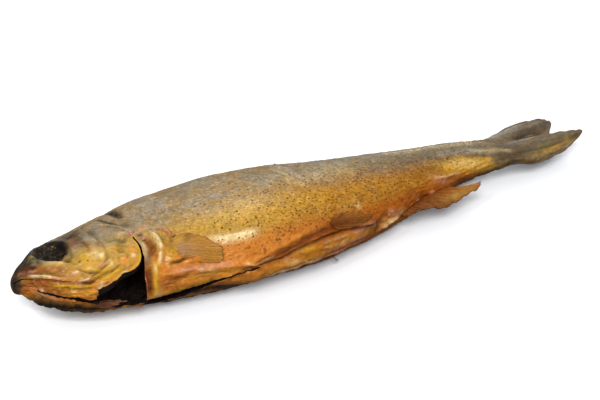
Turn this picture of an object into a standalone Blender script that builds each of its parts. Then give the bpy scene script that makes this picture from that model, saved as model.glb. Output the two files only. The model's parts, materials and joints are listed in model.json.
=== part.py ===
# A smoked trout lying on its right side: gutted, with the gill opening and the belly slit open.
# Metres, +Z up. The snout points to -X, the back to +Y and the belly to -Y.
import bpy
import bmesh
from math import cos, sin, pi
from mathutils import Vector

MM = 0.001
ORIGIN = Vector((181.5, 0.72, 0))            # middle of the fish's own box, in the sections' millimetres

# Body. A section: distance from the snout's end, back edge, belly edge, thickness and height of the
# underside, all in millimetres. The back and belly edges are measured from the fish's long axis.
SECTIONS = (
    (2.0, 4.2, -0.8, 5.0, 19.2),
    (3.2, 6.6, -2.4, 8.6, 17.2),
    (8, 12.0, -6.0, 14.5, 14.5),
    (20, 19.0, -17.5, 23.0, 11.0),
    (35, 24.0, -27.5, 28.0, 8.0),
    (55, 30.5, -33.5, 34.5, 4.0),
    (75, 35.0, -37.0, 39.5, 1.5),
    (95, 37.5, -40.0, 42.5, 0.0),
    (125, 38.0, -44.5, 43.0, 0.0),
    (155, 36.5, -44.0, 40.5, 0.0),
    (185, 32.5, -38.5, 36.0, 0.0),
    (215, 28.5, -29.0, 31.5, 0.0),
    (245, 23.5, -18.5, 25.5, 2.0),
    (275, 19.0, -11.5, 19.5, 4.5),
    (300, 16.0, -11.0, 13.0, 7.0),
)
FULLNESS = 0.85        # power of the section's round: 1 is an ellipse, less is fuller
SAG = 2.0              # how far the soft underside would sink, were the table not there
RINGS_HEAD = 20        # rings from the snout to the gill opening
RINGS_BODY = 30        # rings from there to the tail's root
RINGS_TAIL = 9
SEGMENTS = 36          # points round a ring
GILL_X = 70
OUTSIDE_Y = -50        # clear of the belly, for cutters that open to the outside

# Tail fin: how far each ray reaches past the root, and how high its middle layer lies, from the
# near (belly) edge at -1 to the far (back) edge at 1.
TAIL_REACH = (
    (-1, 24), (-0.85, 42), (-0.5, 61), (-0.2, 54),
    (0.14, 42), (0.35, 46), (0.7, 55), (0.9, 51), (1, 38),
)
TAIL_RISE = ((-1, -4), (-0.5, 4), (0, 0), (0.4, -3.5), (1, 2))
TAIL_MIDDLE = 5.5      # the fan's middle, from the long axis
TAIL_HALF_SPREAD = 18.5
TAIL_EDGE = 1.6        # thickness at the trailing edge
TAIL_HEIGHT = 12.5     # height of the fan's middle layer

# Head.
EYE = (25.5, 6.5)      # the sunken socket's centre, along and across
EYE_RADII = (9.0, 8.6, 6.5)
EYE_HEIGHTS = (37.5, 8.5)                     # left socket, on top, and right socket, underneath
MOUTH_LINE = ((-6, 9.5), (3.5, 1.4), (14, -7.5), (26, -18), (32, -23))      # seen from above
MOUTH_GAPE = 2.0       # width of the gape at the snout
JAW_SLIT = ((11, 21.5, 0.5, 1.2), (24, 21.5, 0.9, 1.8), (41, 19.5, 2.0, 5.5))       # rows as for SLIT

# Gill opening: the free edge of the gill cover and the rim of the collar behind it, both on the skin
# as (distance from the snout, angle), from the nape down to the throat.
COVER_EDGE = (
    (65.4, 108), (66.0, 120), (64.8, 131), (62.2, 140),
    (57.5, 146), (50.0, 150), (44.0, 161), (36.0, 172),
)
COLLAR_RIM = ((66.4, 106), (67.6, 120), (66.6, 131), (65.2, 142), (62.8, 159), (61.8, 179))
COVER_PLATE = 2.2      # thickness of the gill cover at its free edge
CHAMBER_MIDDLE = (47, -8, 0)                  # the hollow under the cover reaches towards this point
CHAMBER_SECTION = ((5.0, 4.0), (9.0, 9.0))    # how far in, and how deep under the edge, its roof runs
GILL_FLOOR = 12.5      # the opening stops here, on the inside of the other gill cover
COLLAR_PATH = (
    (70, 106), (74, 115), (75.5, 127), (73.0, 138),
    (69.5, 149), (66.8, 162), (65.6, 178), (65.0, 192),
)
COLLAR_SIZE = (1.9, 2.2)                      # height and half width of the raised collar

# Belly slit: distance from the snout, height of its middle, half its width and its depth.
SLIT = (
    (60, 10.5, 5.0, 14.0),
    (78, 13.0, 4.6, 14.0),
    (92, 17.5, 2.4, 12.0),
    (110, 20.0, 1.3, 10.0),
    (130, 22.8, 1.1, 10.0),
    (147, 25.0, 1.1, 9.0),
    (162, 26.4, 1.1, 8.0),
    (180, 23.0, 0.9, 7.0),
    (200, 18.5, 0.6, 5.0),
)

BLADE_OVERHANG = 9     # the slits' cutters run this far out of the belly,
BLADE_FLARE = 1.6      # are this many times wider there,
BLADE_TIP = 0.3        # and end in a tip of this half width

# Fins folded back on the skin: where the root and the tip lie (distance, angle), how many degrees wide
# each of them is, and how far the tip stands off the skin. The right fins are pinned underneath.
PECTORAL = {"root": (76, 145), "tip": (103.5, 151), "widths": (9, 26), "lift": 1.0}
PELVIC = {"root": (165, 145), "tip": (192, 163), "widths": (6, 17), "lift": 1.0}
RIGHT_PECTORAL = {"root": (76, -128), "tip": (103.5, -128), "widths": (9, 26), "lift": 0.2}
RIGHT_PELVIC = {"root": (165, -130), "tip": (192, -134), "widths": (6, 17), "lift": 0.2}
FOLDED_THICKNESS = 1.3

# Fins in the fish's middle plane: from and to along the body, and rows of (share of the base, reach
# past the body's edge, sweep towards the tail).
DORSAL = (148, 182, ((0, 2, 4), (0.15, 9, 11), (0.5, 10, 13), (0.85, 7, 12), (1, 3, 9)))
ADIPOSE = (246, 256, ((0, 1, 1), (0.5, 5, 6), (1, 3, 8)))
ANAL = (216, 258, ((0, 1, 1), (0.15, 3, 4), (0.55, 7.5, 9), (0.9, 7.5, 14), (1, 5, 15)))
FIN_ROOT_DEPTH = 5     # how far these fins' roots run into the body
FIN_HALF_THICKNESS = (2.5, 0.7)               # at the root and at the rim


def smooth(points, x):
    """Value at x of a curve through the (x, value) points that doesn't overshoot them."""
    if x <= points[0][0]:
        return points[0][1]
    if x >= points[-1][0]:
        return points[-1][1]
    steps = [b[0] - a[0] for a, b in zip(points, points[1:])]
    slopes = [(b[1] - a[1]) / h for a, b, h in zip(points, points[1:], steps)]
    tangents = [slopes[0]]
    for a, b in zip(slopes, slopes[1:]):
        tangents.append(0.0 if a * b <= 0 else 2 * a * b / (a + b))
    tangents.append(slopes[-1])
    i = max(k for k in range(len(steps)) if points[k][0] <= x)
    h = steps[i]
    t = (x - points[i][0]) / h
    rise = points[i + 1][1] - points[i][1]
    bend = tangents[i] * h * t * (1 - t) ** 2 - tangents[i + 1] * h * t * t * (1 - t)
    return points[i][1] + rise * t * t * (3 - 2 * t) + bend


def column(rows, k):
    return [(row[0], row[k]) for row in rows]


BACK = column(SECTIONS, 1)
BELLY = column(SECTIONS, 2)
THICKNESS = column(SECTIONS, 3)
UNDERSIDE = column(SECTIONS, 4)
ROOT_X = SECTIONS[-1][0]


def skin(x, angle):
    """Point of the body's surface; angle is 0 at the back, 90 degrees on top and 180 at the belly."""
    back = smooth(BACK, x)
    belly = smooth(BELLY, x)
    half = smooth(THICKNESS, x) / 2
    lift = abs(sin(angle)) ** FULLNESS * (1 if sin(angle) > 0 else -1)
    y = (back + belly) / 2 + (back - belly) / 2 * cos(angle)
    z = smooth(UNDERSIDE, x) + half + half * lift
    if lift < 0:
        z += SAG * lift * min(1, half / 15)
    return Vector((x, y, max(z, 0.0)))


def skin_normal(x, angle):
    along = skin(x + 1, angle) - skin(x - 1, angle)
    around = skin(x, angle + 0.05) - skin(x, angle - 0.05)
    return around.cross(along).normalized()


def tail_point(t, angle):
    """Point of the tail fin: t runs from 0 at its root to 1 at its trailing edge."""
    root = skin(ROOT_X, angle)
    across = cos(angle)
    ease = t * t * (3 - 2 * t)
    middle = smooth(BACK, ROOT_X) / 2 + smooth(BELLY, ROOT_X) / 2
    half_depth = smooth(BACK, ROOT_X) / 2 - smooth(BELLY, ROOT_X) / 2
    half_depth += (TAIL_HALF_SPREAD - half_depth) * min(1, 1.6 * t)
    x = ROOT_X + t * smooth(TAIL_REACH, across)
    y = middle + (TAIL_MIDDLE - middle) * ease + across * half_depth
    thick = TAIL_EDGE + (smooth(THICKNESS, ROOT_X) - TAIL_EDGE) * (1 - t) ** 3
    lift = abs(sin(angle)) ** FULLNESS * (1 if sin(angle) > 0 else -1)
    root_middle = smooth(UNDERSIDE, ROOT_X) + smooth(THICKNESS, ROOT_X) / 2
    z = root_middle + (TAIL_HEIGHT - root_middle) * ease + smooth(TAIL_RISE, across) * ease + thick / 2 * lift
    if t == 0:
        return root
    return Vector((x, y, z))


def make_object(name, points, faces):
    mesh = bpy.data.meshes.new(name)
    mesh.from_pydata([(point - ORIGIN) * MM for point in points], [], faces)
    work = bmesh.new()
    work.from_mesh(mesh)
    bmesh.ops.remove_doubles(work, verts=work.verts, dist=0.00001)
    bmesh.ops.recalc_face_normals(work, faces=work.faces)
    work.to_mesh(mesh)
    work.free()
    made = bpy.data.objects.new(name, mesh)
    bpy.context.scene.collection.objects.link(made)
    return made


def loft(name, rings, close_ends="fan"):
    """Closed mesh through rings of equal length; an end is a flat lid, or is zipped top to bottom."""
    count = len(rings[0])
    points = [point for ring in rings for point in ring]
    faces = []
    for i in range(len(rings) - 1):
        for j in range(count):
            k = (j + 1) % count
            faces.append((i * count + j, i * count + k, (i + 1) * count + k, (i + 1) * count + j))
    for start in (0, (len(rings) - 1) * count):
        if close_ends == "fan":
            faces.append(tuple(start + j for j in range(count)))
            continue
        for j in range(count // 2):
            pair = (j, j + 1, (count - j - 1) % count, (count - j) % count)
            faces.append(tuple(dict.fromkeys(start + k for k in pair)))
    return make_object(name, points, faces)


def body():
    angles = [2 * pi * j / SEGMENTS for j in range(SEGMENTS)]
    first = SECTIONS[0][0]
    rings = []
    for i in range(RINGS_HEAD):
        x = first + (GILL_X - first) * (i / RINGS_HEAD) ** 1.35
        rings.append([skin(x, angle) for angle in angles])
    for i in range(RINGS_BODY):
        x = GILL_X + (ROOT_X - GILL_X) * i / RINGS_BODY
        rings.append([skin(x, angle) for angle in angles])
    for i in range(RINGS_TAIL + 1):
        rings.append([tail_point(i / RINGS_TAIL, angle) for angle in angles])
    return loft("smoked_fish", rings, "zip")


def plate(name, middle, thickness, columns=10, rows=6):
    """Thin closed plate: middle(u, v) gives a point and a normal, thickness(u, v) the sides' offsets."""
    top = []
    bottom = []
    for i in range(columns + 1):
        for j in range(rows + 1):
            u = i / columns
            v = j / rows
            point, normal = middle(u, v)
            over, under = thickness(u, v)
            for side, offset in ((top, over), (bottom, -under)):
                place = point + normal * offset
                side.append(Vector((place.x, place.y, max(place.z, 0.05))))
    size = len(top)
    wide = rows + 1
    faces = []
    for i in range(columns):
        for j in range(rows):
            a = i * wide + j
            faces.append((a, a + 1, a + wide + 1, a + wide))
            faces.append((size + a, size + a + wide, size + a + wide + 1, size + a + 1))
    border = [j for j in range(wide)]
    border += [i * wide + rows for i in range(1, columns + 1)]
    border += [columns * wide + j for j in range(rows - 1, -1, -1)]
    border += [i * wide for i in range(columns - 1, 0, -1)]
    for a, b in zip(border, border[1:] + border[:1]):
        faces.append((a, b, size + b, size + a))
    return make_object(name, top + bottom, faces)


def prism(name, outline, low, high):
    """Upright solid from an outline seen from above."""
    return loft(name, [[Vector((x, y, z)) for x, y in outline] for z in (low, high)])


def ellipsoid(name, centre, radii):
    made = make_object(name, [], [])
    work = bmesh.new()
    bmesh.ops.create_uvsphere(work, u_segments=20, v_segments=12, radius=1)
    for vert in work.verts:
        place = Vector([c + r * k for c, r, k in zip(centre, radii, vert.co)])
        vert.co = (place - ORIGIN) * MM
    work.to_mesh(made.data)
    work.free()
    return made


def blade(name, rows):
    """Wedge let into the belly edge; a row is (distance, height, half width, depth)."""
    first = rows[0][0]
    last = rows[-1][0]
    rings = []
    for i in range(25):
        x = first + (last - first) * i / 24
        height, half, depth = [smooth(column(rows, k), x) for k in (1, 2, 3)]
        edge = smooth(BELLY, x)
        mouth_half = half * BLADE_FLARE
        rings.append([
            Vector((x, edge - BLADE_OVERHANG, height + mouth_half)),
            Vector((x, edge + depth, height + BLADE_TIP)),
            Vector((x, edge + depth, height - BLADE_TIP)),
            Vector((x, edge - BLADE_OVERHANG, height - mouth_half)),
        ])
    return loft(name, rings)


def mouth():
    upper = []
    lower = []
    last = len(MOUTH_LINE) - 1
    for i, (x, y) in enumerate(MOUTH_LINE):
        half = MOUTH_GAPE / 2 * (1 - 0.85 * i / last)
        upper.append((x, y + half))
        lower.append((x, y - half))
    return prism("cut_mouth", upper + lower[::-1], -10, 60)


def path_places(path, steps):
    """Evenly spaced (distance, angle) places on a smooth curve through the path's own."""
    last = len(path) - 1
    distances = [(i, place[0]) for i, place in enumerate(path)]
    angles = [(i, place[1]) for i, place in enumerate(path)]
    return [(smooth(distances, i * last / steps), smooth(angles, i * last / steps)) for i in range(steps + 1)]


def on_skin(places):
    return [skin(x, angle * pi / 180) for x, angle in places]


def gill_opening():
    """Upright cut between the gill cover and the collar, open at the throat."""
    rim = on_skin(path_places(COLLAR_RIM, 12))
    edge = on_skin(path_places(COVER_EDGE, 18))[::-1]
    outline = [(p.x, p.y) for p in rim]
    outline += [(rim[-1].x + 1, OUTSIDE_Y), (edge[0].x - 3, OUTSIDE_Y)]
    outline += [(p.x, p.y) for p in edge]
    return prism("cut_gill_opening", outline, GILL_FLOOR, 70)


def gill_chamber():
    """Hollow that reaches in under the gill cover's free edge and leaves the cover as a plate."""
    edge = on_skin(path_places(COVER_EDGE, 11))
    middle = Vector(CHAMBER_MIDDLE)
    last = len(edge) - 1
    rings = []
    for i, p in enumerate(edge):
        inward = (middle - p) * Vector((1, 1, 0))
        inward.normalize()
        share = min(1, 0.25 + i / 4) * min(1, 0.5 + (last - i) / 4)
        ring = [p - inward + Vector((0, 0, -COVER_PLATE))]
        for reach, depth in CHAMBER_SECTION:
            ring.append(p + inward * reach * share + Vector((0, 0, -depth)))
        ring.append(Vector((ring[-1].x, ring[-1].y, GILL_FLOOR + 0.5)))
        ring.append(Vector((ring[0].x, ring[0].y, GILL_FLOOR + 0.5)))
        rings.append(ring)
    return loft("cut_gill_chamber", rings)


def collar():
    """Raised band of the shoulder girdle, along the rim behind the gill opening."""
    height, half = COLLAR_SIZE
    steps = 18
    places = path_places(COLLAR_PATH, steps)
    centres = on_skin(places)
    rings = []
    for i, (x, angle) in enumerate(places):
        out = skin_normal(x, angle * pi / 180)
        along = centres[min(i + 1, steps)] - centres[max(i - 1, 0)]
        side = along.cross(out).normalized()
        swell = min(1, 0.4 + sin(pi * i / steps))
        ring = []
        for j in range(10):
            turn = 2 * pi * j / 10
            ring.append(centres[i] + (out * height * cos(turn) + side * half * sin(turn)) * swell)
        rings.append(ring)
    return loft("add_collar", rings)


def folded_fin(name, root, tip, widths, lift):
    """Fin folded back on the skin, thin at its rim and sunk into the body at its root."""

    def middle(u, v):
        spread = widths[0] + (widths[1] - widths[0]) * sin(pi / 2 * u)
        rounded = 1 - 0.18 * (2 * v - 1) ** 2
        x = root[0] + (tip[0] - root[0]) * u * rounded
        angle = root[1] + (tip[1] - root[1]) * u + (v - 0.5) * spread
        angle *= pi / 180
        return skin(x, angle) + skin_normal(x, angle) * lift * u, skin_normal(x, angle)

    def thickness(u, v):
        rim = (1 - (2 * abs(v - 0.5)) ** 4) * min(1, 6 * (1 - u)) * (1 - 0.5 * u)
        rooted = min(1, 4 * u)
        return -0.8 + (1.2 + 0.7 * FOLDED_THICKNESS * rim) * rooted, 1.8 + lift * u

    return plate(name, middle, thickness)


def middle_height(x):
    return smooth(UNDERSIDE, x) + smooth(THICKNESS, x) / 2


def standing_fin(name, shape, edge, side, drop=0):
    """Fin in the middle plane past the body's edge curve; side is 1 at the back and -1 at the belly."""
    start, end, rows = shape
    root_half, rim_half = FIN_HALF_THICKNESS

    def middle(u, v):
        x = start + (end - start) * u
        reach = smooth(column(rows, 1), u)
        sweep = smooth(column(rows, 2), u)
        y = smooth(edge, x) + side * ((reach + FIN_ROOT_DEPTH) * v - FIN_ROOT_DEPTH)
        return Vector((x + sweep * v * v, y, middle_height(x) - drop)), Vector((0, 0, 1))

    def thickness(u, v):
        half = rim_half + (root_half - rim_half) * (1 - v) ** 1.5
        half *= 0.55 + 0.45 * sin(pi * u)
        return half, half

    return plate(name, middle, thickness, 12, 5)


def fins():
    return [
        folded_fin("add_left_pectoral", **PECTORAL),
        folded_fin("add_right_pectoral", **RIGHT_PECTORAL),
        folded_fin("add_left_pelvic", **PELVIC),
        folded_fin("add_right_pelvic", **RIGHT_PELVIC),
        standing_fin("add_dorsal", DORSAL, BACK, 1),
        standing_fin("add_adipose", ADIPOSE, BACK, 1),
        standing_fin("add_anal", ANAL, BELLY, -1, drop=3),
    ]


def boolean(target, tool, operation):
    tool.hide_render = True
    tool.display_type = "WIRE"
    step = target.modifiers.new(tool.name, "BOOLEAN")
    step.operation = operation
    step.solver = "EXACT"
    step.object = tool


def smoked_skin():
    material = bpy.data.materials.new("smoked_skin")
    material.use_nodes = True
    shader = material.node_tree.nodes["Principled BSDF"]
    shader.inputs["Base Color"].default_value = (0.36, 0.19, 0.04, 1)
    shader.inputs["Roughness"].default_value = 0.42
    shader.inputs["Metallic"].default_value = 0.0
    return material


def build():
    for old in list(bpy.data.objects):
        bpy.data.objects.remove(old)
    fish = body()
    fish.data.materials.append(smoked_skin())
    for fin in fins():
        boolean(fish, fin, "UNION")
    boolean(fish, collar(), "UNION")
    for word, height in zip(("left", "right"), EYE_HEIGHTS):
        boolean(fish, ellipsoid("cut_eye_" + word, (*EYE, height), EYE_RADII), "DIFFERENCE")
    slits = (blade("cut_belly_slit", SLIT), blade("cut_jaw_slit", JAW_SLIT))
    for cutter in (gill_opening(), gill_chamber(), *slits, mouth()):
        boolean(fish, cutter, "DIFFERENCE")
    fish.data.shade_smooth()


build()
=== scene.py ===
import json
from math import cos, pi, radians, sin, tau

import bmesh
import bpy
import numpy as np
from mathutils import Matrix, Vector, noise
from mathutils.kdtree import KDTree

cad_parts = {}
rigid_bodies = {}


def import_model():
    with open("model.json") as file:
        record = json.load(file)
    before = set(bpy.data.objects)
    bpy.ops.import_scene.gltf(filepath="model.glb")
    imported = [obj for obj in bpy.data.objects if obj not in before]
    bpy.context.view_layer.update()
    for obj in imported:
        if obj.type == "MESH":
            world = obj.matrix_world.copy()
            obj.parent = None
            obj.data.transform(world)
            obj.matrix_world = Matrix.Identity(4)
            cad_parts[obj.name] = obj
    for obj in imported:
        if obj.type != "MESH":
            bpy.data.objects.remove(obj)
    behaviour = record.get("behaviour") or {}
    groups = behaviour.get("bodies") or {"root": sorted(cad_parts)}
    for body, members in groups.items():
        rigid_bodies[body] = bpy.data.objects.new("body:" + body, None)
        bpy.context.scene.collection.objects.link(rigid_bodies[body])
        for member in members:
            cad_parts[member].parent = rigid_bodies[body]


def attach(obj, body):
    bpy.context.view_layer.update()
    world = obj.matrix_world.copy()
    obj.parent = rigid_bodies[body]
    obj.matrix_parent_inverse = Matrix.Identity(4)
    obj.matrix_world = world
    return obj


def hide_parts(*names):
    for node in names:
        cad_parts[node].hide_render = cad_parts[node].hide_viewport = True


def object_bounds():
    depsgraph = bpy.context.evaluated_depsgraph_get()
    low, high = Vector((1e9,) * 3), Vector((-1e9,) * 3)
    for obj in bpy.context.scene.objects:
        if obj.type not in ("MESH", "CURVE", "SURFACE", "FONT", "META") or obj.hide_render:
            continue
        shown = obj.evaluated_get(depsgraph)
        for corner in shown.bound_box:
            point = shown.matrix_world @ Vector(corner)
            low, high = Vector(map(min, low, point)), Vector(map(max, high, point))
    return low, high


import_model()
cadLow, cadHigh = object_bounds()
mm = 0.001
floorGap = 0.02  # millimetres that thin pieces stay clear of the floor


# The shape of the fish, as in its solid, with the edge and the rise of the tail drawn more closely. Places
# are millimetres from the end of the snout, with the back towards +Y, and around the body an angle that is 0
# at the back, 90 on top and 180 at the belly.
bodyShape = {
    "sections": (  # along, back edge, belly edge, thickness, height of the underside
        (2.0, 4.2, -0.8, 5.0, 19.2),
        (3.2, 6.6, -2.4, 8.6, 17.2),
        (8, 12.0, -6.0, 14.5, 14.5),
        (20, 19.0, -17.5, 23.0, 11.0),
        (35, 24.0, -27.5, 28.0, 8.0),
        (55, 30.5, -33.5, 34.5, 4.0),
        (75, 35.0, -37.0, 39.5, 1.5),
        (95, 37.5, -40.0, 42.5, 0.0),
        (125, 38.0, -44.5, 43.0, 0.0),
        (155, 36.5, -44.0, 40.5, 0.0),
        (185, 32.5, -38.5, 36.0, 0.0),
        (215, 28.5, -29.0, 31.5, 0.0),
        (245, 23.5, -18.5, 25.5, 2.0),
        (275, 19.0, -11.5, 19.5, 4.5),
        (300, 16.0, -11.0, 13.0, 7.0),
    ),
    "fullness": 0.85,
    "sag": 2.0,
    "tailRun": 50.0,  # places on the tail are given as if every ray were this long
    "tailReach": (
        (-1, 26), (-0.85, 46), (-0.5, 61), (-0.2, 54),
        (0.14, 44), (0.35, 49), (0.7, 55), (0.9, 51), (1, 38),
    ),
    "tailRise": ((-1, -4), (-0.5, 2.8), (0, 0), (0.4, -3.5), (1, 2)),
    "tailMiddle": 5.5,
    "tailHalfSpread": 18.5,
    "tailEdge": 1.3,
    "tailHeight": 12.5,
    "tailRays": 17,
    "tailRayHeight": 0.32,
    "tailRagged": 2.8,  # how far the rays' ends wander
    "headRings": 170,  # rings up to headEnd, then along the body, then over the tail
    "headEnd": 82.0,
    "bodyRings": 175,
    "tailRings": 52,
    "topSegments": 148,  # points over the upper side of a ring; the underside has half as many
    "lumps": (  # size and height of the skin's own unevenness
        (18.0, 0.55),
        (6.0, 0.24),
        (2.4, 0.10),
    ),
    "folds": (  # length, breadth and height of the shrivelled wrinkles
        (8.0, 2.6, 0.42),
        (3.6, 1.4, 0.20),
    ),
}
rootAlong = bodyShape["sections"][-1][0]
origin = Vector((
    bodyShape["sections"][0][0] - cadLow.x / mm,
    min(row[2] for row in bodyShape["sections"]) - cadLow.y / mm,
    0,
))


def rise(x, start, end):
    # 0 before start and 1 after end, in a straight line between them; end may be the smaller one
    return np.clip((x - start) / (end - start), 0, 1)


def ease(t):
    return t * t * (3 - 2 * t)


def soft(x, middle, width):
    # 1 at the middle, fading to 0 on both sides of it
    return np.exp(-((x - middle) / width) ** 2)


def noiseAt(x, y=0.0, z=0.0):
    return noise.noise(Vector((x, y, z)))


def curveThrough(points, x):
    # a smooth curve through (x, value) points that doesn't overshoot them, for a whole array of x
    xs, ys = np.array(points, float).T
    step = np.diff(xs)
    slope = np.diff(ys) / step
    product = slope[:-1] * slope[1:]
    total = np.where(product > 0, slope[:-1] + slope[1:], 1)
    inner = np.where(product > 0, 2 * product / total, 0)
    tangent = np.concatenate((slope[:1], inner, slope[-1:]))
    x = np.clip(x, xs[0], xs[-1])
    i = np.clip(np.searchsorted(xs, x, side="right") - 1, 0, len(step) - 1)
    t = (x - xs[i]) / step[i]
    bend = step[i] * t * (1 - t) * (tangent[i] * (1 - t) - tangent[i + 1] * t)
    return ys[i] + (ys[i + 1] - ys[i]) * ease(t) + bend


def sizeAlong(k, along):
    return curveThrough([(row[0], row[k]) for row in bodyShape["sections"]], along)


def roundness(turn):
    return np.abs(np.sin(turn)) ** bodyShape["fullness"] * np.sign(np.sin(turn))


def trunkPoints(along, turn):
    back, belly, thick, under = [sizeAlong(k, along) for k in (1, 2, 3, 4)]
    half = thick / 2
    lift = roundness(turn)
    y = (back + belly) / 2 + (back - belly) / 2 * np.cos(turn)
    z = under + half + half * lift + bodyShape["sag"] * np.minimum(lift, 0) * np.minimum(1, half / 15)
    return np.stack((along, y, np.maximum(z, 0)), -1)


def tailPoints(t, turn):
    across = np.cos(turn)
    eased = ease(t)
    back, belly, thick, under = [float(sizeAlong(k, rootAlong)) for k in (1, 2, 3, 4)]
    middle = (back + belly) / 2
    depth = (back - belly) / 2
    depth = depth + (bodyShape["tailHalfSpread"] - depth) * np.minimum(1, 1.6 * t)
    x = rootAlong + t * curveThrough(bodyShape["tailReach"], across)
    y = middle + (bodyShape["tailMiddle"] - middle) * eased + across * depth
    layer = bodyShape["tailEdge"] + (thick - bodyShape["tailEdge"]) * (1 - t) ** 3
    rootHeight = under + thick / 2
    z = rootHeight + (bodyShape["tailHeight"] - rootHeight) * eased
    z = z + curveThrough(bodyShape["tailRise"], across) * eased + layer / 2 * roundness(turn)
    return np.stack((x, y, z), -1)


def tailShare(along):
    return rise(along, rootAlong, rootAlong + bodyShape["tailRun"])


def surfacePoints(along, turn):
    along, turn = np.broadcast_arrays(np.asarray(along, float), np.asarray(turn, float))
    t = tailShare(along)
    onTrunk = trunkPoints(np.minimum(along, rootAlong), turn)
    return np.where((t > 0)[..., None], tailPoints(t, turn), onTrunk)


def surfaceNormals(along, turn):
    forward = surfacePoints(along + 0.6, turn) - surfacePoints(along - 0.6, turn)
    around = surfacePoints(along, turn + 0.03) - surfacePoints(along, turn - 0.03)
    out = np.cross(around, forward)
    return out / np.maximum(np.linalg.norm(out, axis=-1, keepdims=True), 1e-9)


def arcFromTop(along, turn):
    # distance round the skin from the top line, positive towards the belly
    share = np.linspace(0, 1, 25)
    along, turn = np.asarray(along, float), np.asarray(turn, float)
    turns = pi / 2 + (turn[..., None] - pi / 2) * share
    steps = np.diff(surfacePoints(along[..., None], turns), axis=-2)
    return np.sign(turn - pi / 2) * np.linalg.norm(steps, axis=-1).sum(-1)


def smoothPlaces(places, steps):
    # smooth columns of numbers through the given rows, such as (along, angle in degrees) places
    index = np.linspace(0, len(places) - 1, steps + 1)
    return [curveThrough(list(enumerate(column)), index) for column in zip(*places)]


def uneven(points, size, seed=0.0):
    # smooth noise from -1 to 1 at each point, with lumps of the given size
    shift = Vector((seed, seed * 0.7, -seed))
    return np.array([noise.noise(Vector(p) / size + shift) for p in points])


def wrinkled(points, length, breadth, seed):
    # wrinkles that run along the fish: 1 on their crests, below 0 between them
    shift = Vector((seed, -seed, seed * 0.5))
    crests = [noise.noise(Vector((p[0] / length, p[1] / breadth, p[2] / breadth)) + shift) for p in points]
    return 1 - 4 * np.abs(np.array(crests))


def setValues(mesh, values):
    for name, layer in values.items():
        made = mesh.attributes.new(name, "FLOAT", "POINT")
        made.data.foreach_set("value", np.asarray(layer, np.float32).reshape(-1))


def newPiece(name, points, faces, materials, values=None, weld=False, smoothAngle=60):
    # an object from points in millimetres, with values on its points for the materials to read
    mesh = bpy.data.meshes.new(name)
    mesh.from_pydata(((np.asarray(points) - np.array(origin)) * mm).tolist(), [], faces)
    setValues(mesh, values or {})
    work = bmesh.new()
    work.from_mesh(mesh)
    if weld:
        bmesh.ops.remove_doubles(work, verts=work.verts, dist=0.002 * mm)
    bmesh.ops.recalc_face_normals(work, faces=work.faces)
    work.to_mesh(mesh)
    work.free()
    mesh.shade_smooth()
    mesh.set_sharp_from_angle(angle=radians(smoothAngle))
    for material in materials:
        mesh.materials.append(material)
    return intoScene(bpy.data.objects.new(name, mesh))


def intoScene(made):
    bpy.context.scene.collection.objects.link(made)
    return made


def ringFaces(rings, count, start=0):
    # the faces between closed rings of count points each, whose first point has the number start
    faces = []
    for i in range(rings - 1):
        for j in range(count):
            a, b = start + i * count + j, start + i * count + (j + 1) % count
            faces.append((a, b, b + count, a + count))
    return faces


def loft(name, rings, material):
    count, last = len(rings[0]), (len(rings) - 1) * len(rings[0])
    faces = ringFaces(len(rings), count) + [tuple(range(count)), tuple(range(last, last + count))]
    return newPiece(name, [p for ring in rings for p in ring], faces, [material], weld=True, smoothAngle=55)


def tube(name, path, segments, swell, material):
    # a closed tube; swell gives its half breadth and half height at ring i towards (side, up)
    rings = []
    for i, p in enumerate(path):
        ahead = path[min(i + 1, len(path) - 1)] - path[max(i - 1, 0)]
        across = np.cross(ahead, (0, 0, 1))
        across /= np.linalg.norm(across)
        ring = []
        for j in range(segments):
            side, up = cos(tau * j / segments), sin(tau * j / segments)
            breadth, height = swell(i, side, up)
            q = p + across * breadth * side
            ring.append((q[0], q[1], max(q[2] + height * up, floorGap)))
        rings.append(ring)
    return loft(name, rings, material)


# Marks on the skin. A stroke follows (along, angle) places; a patch is an oval round one place. Widths,
# reaches and heights are millimetres, a height below 0 is a groove or a dent, and a tint is one of those
# in skinLook.
# Many marks paint light as well as colour: an umber or dark tint on a groove, hollow or underside paints the
# shade there, and a pale tint on a ridge or fold paints a highlight.
def stroke(places, width, tint=None, strength=0, height=0):
    return {"places": places, "width": width, "height": height, "tint": tint, "strength": strength}


def patch(place, reach, tint=None, strength=0, height=0, turn=0, steep=0):
    return {
        "place": place, "reach": reach, "height": height, "tint": tint,
        "strength": strength, "turn": turn, "steep": steep,
    }


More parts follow.
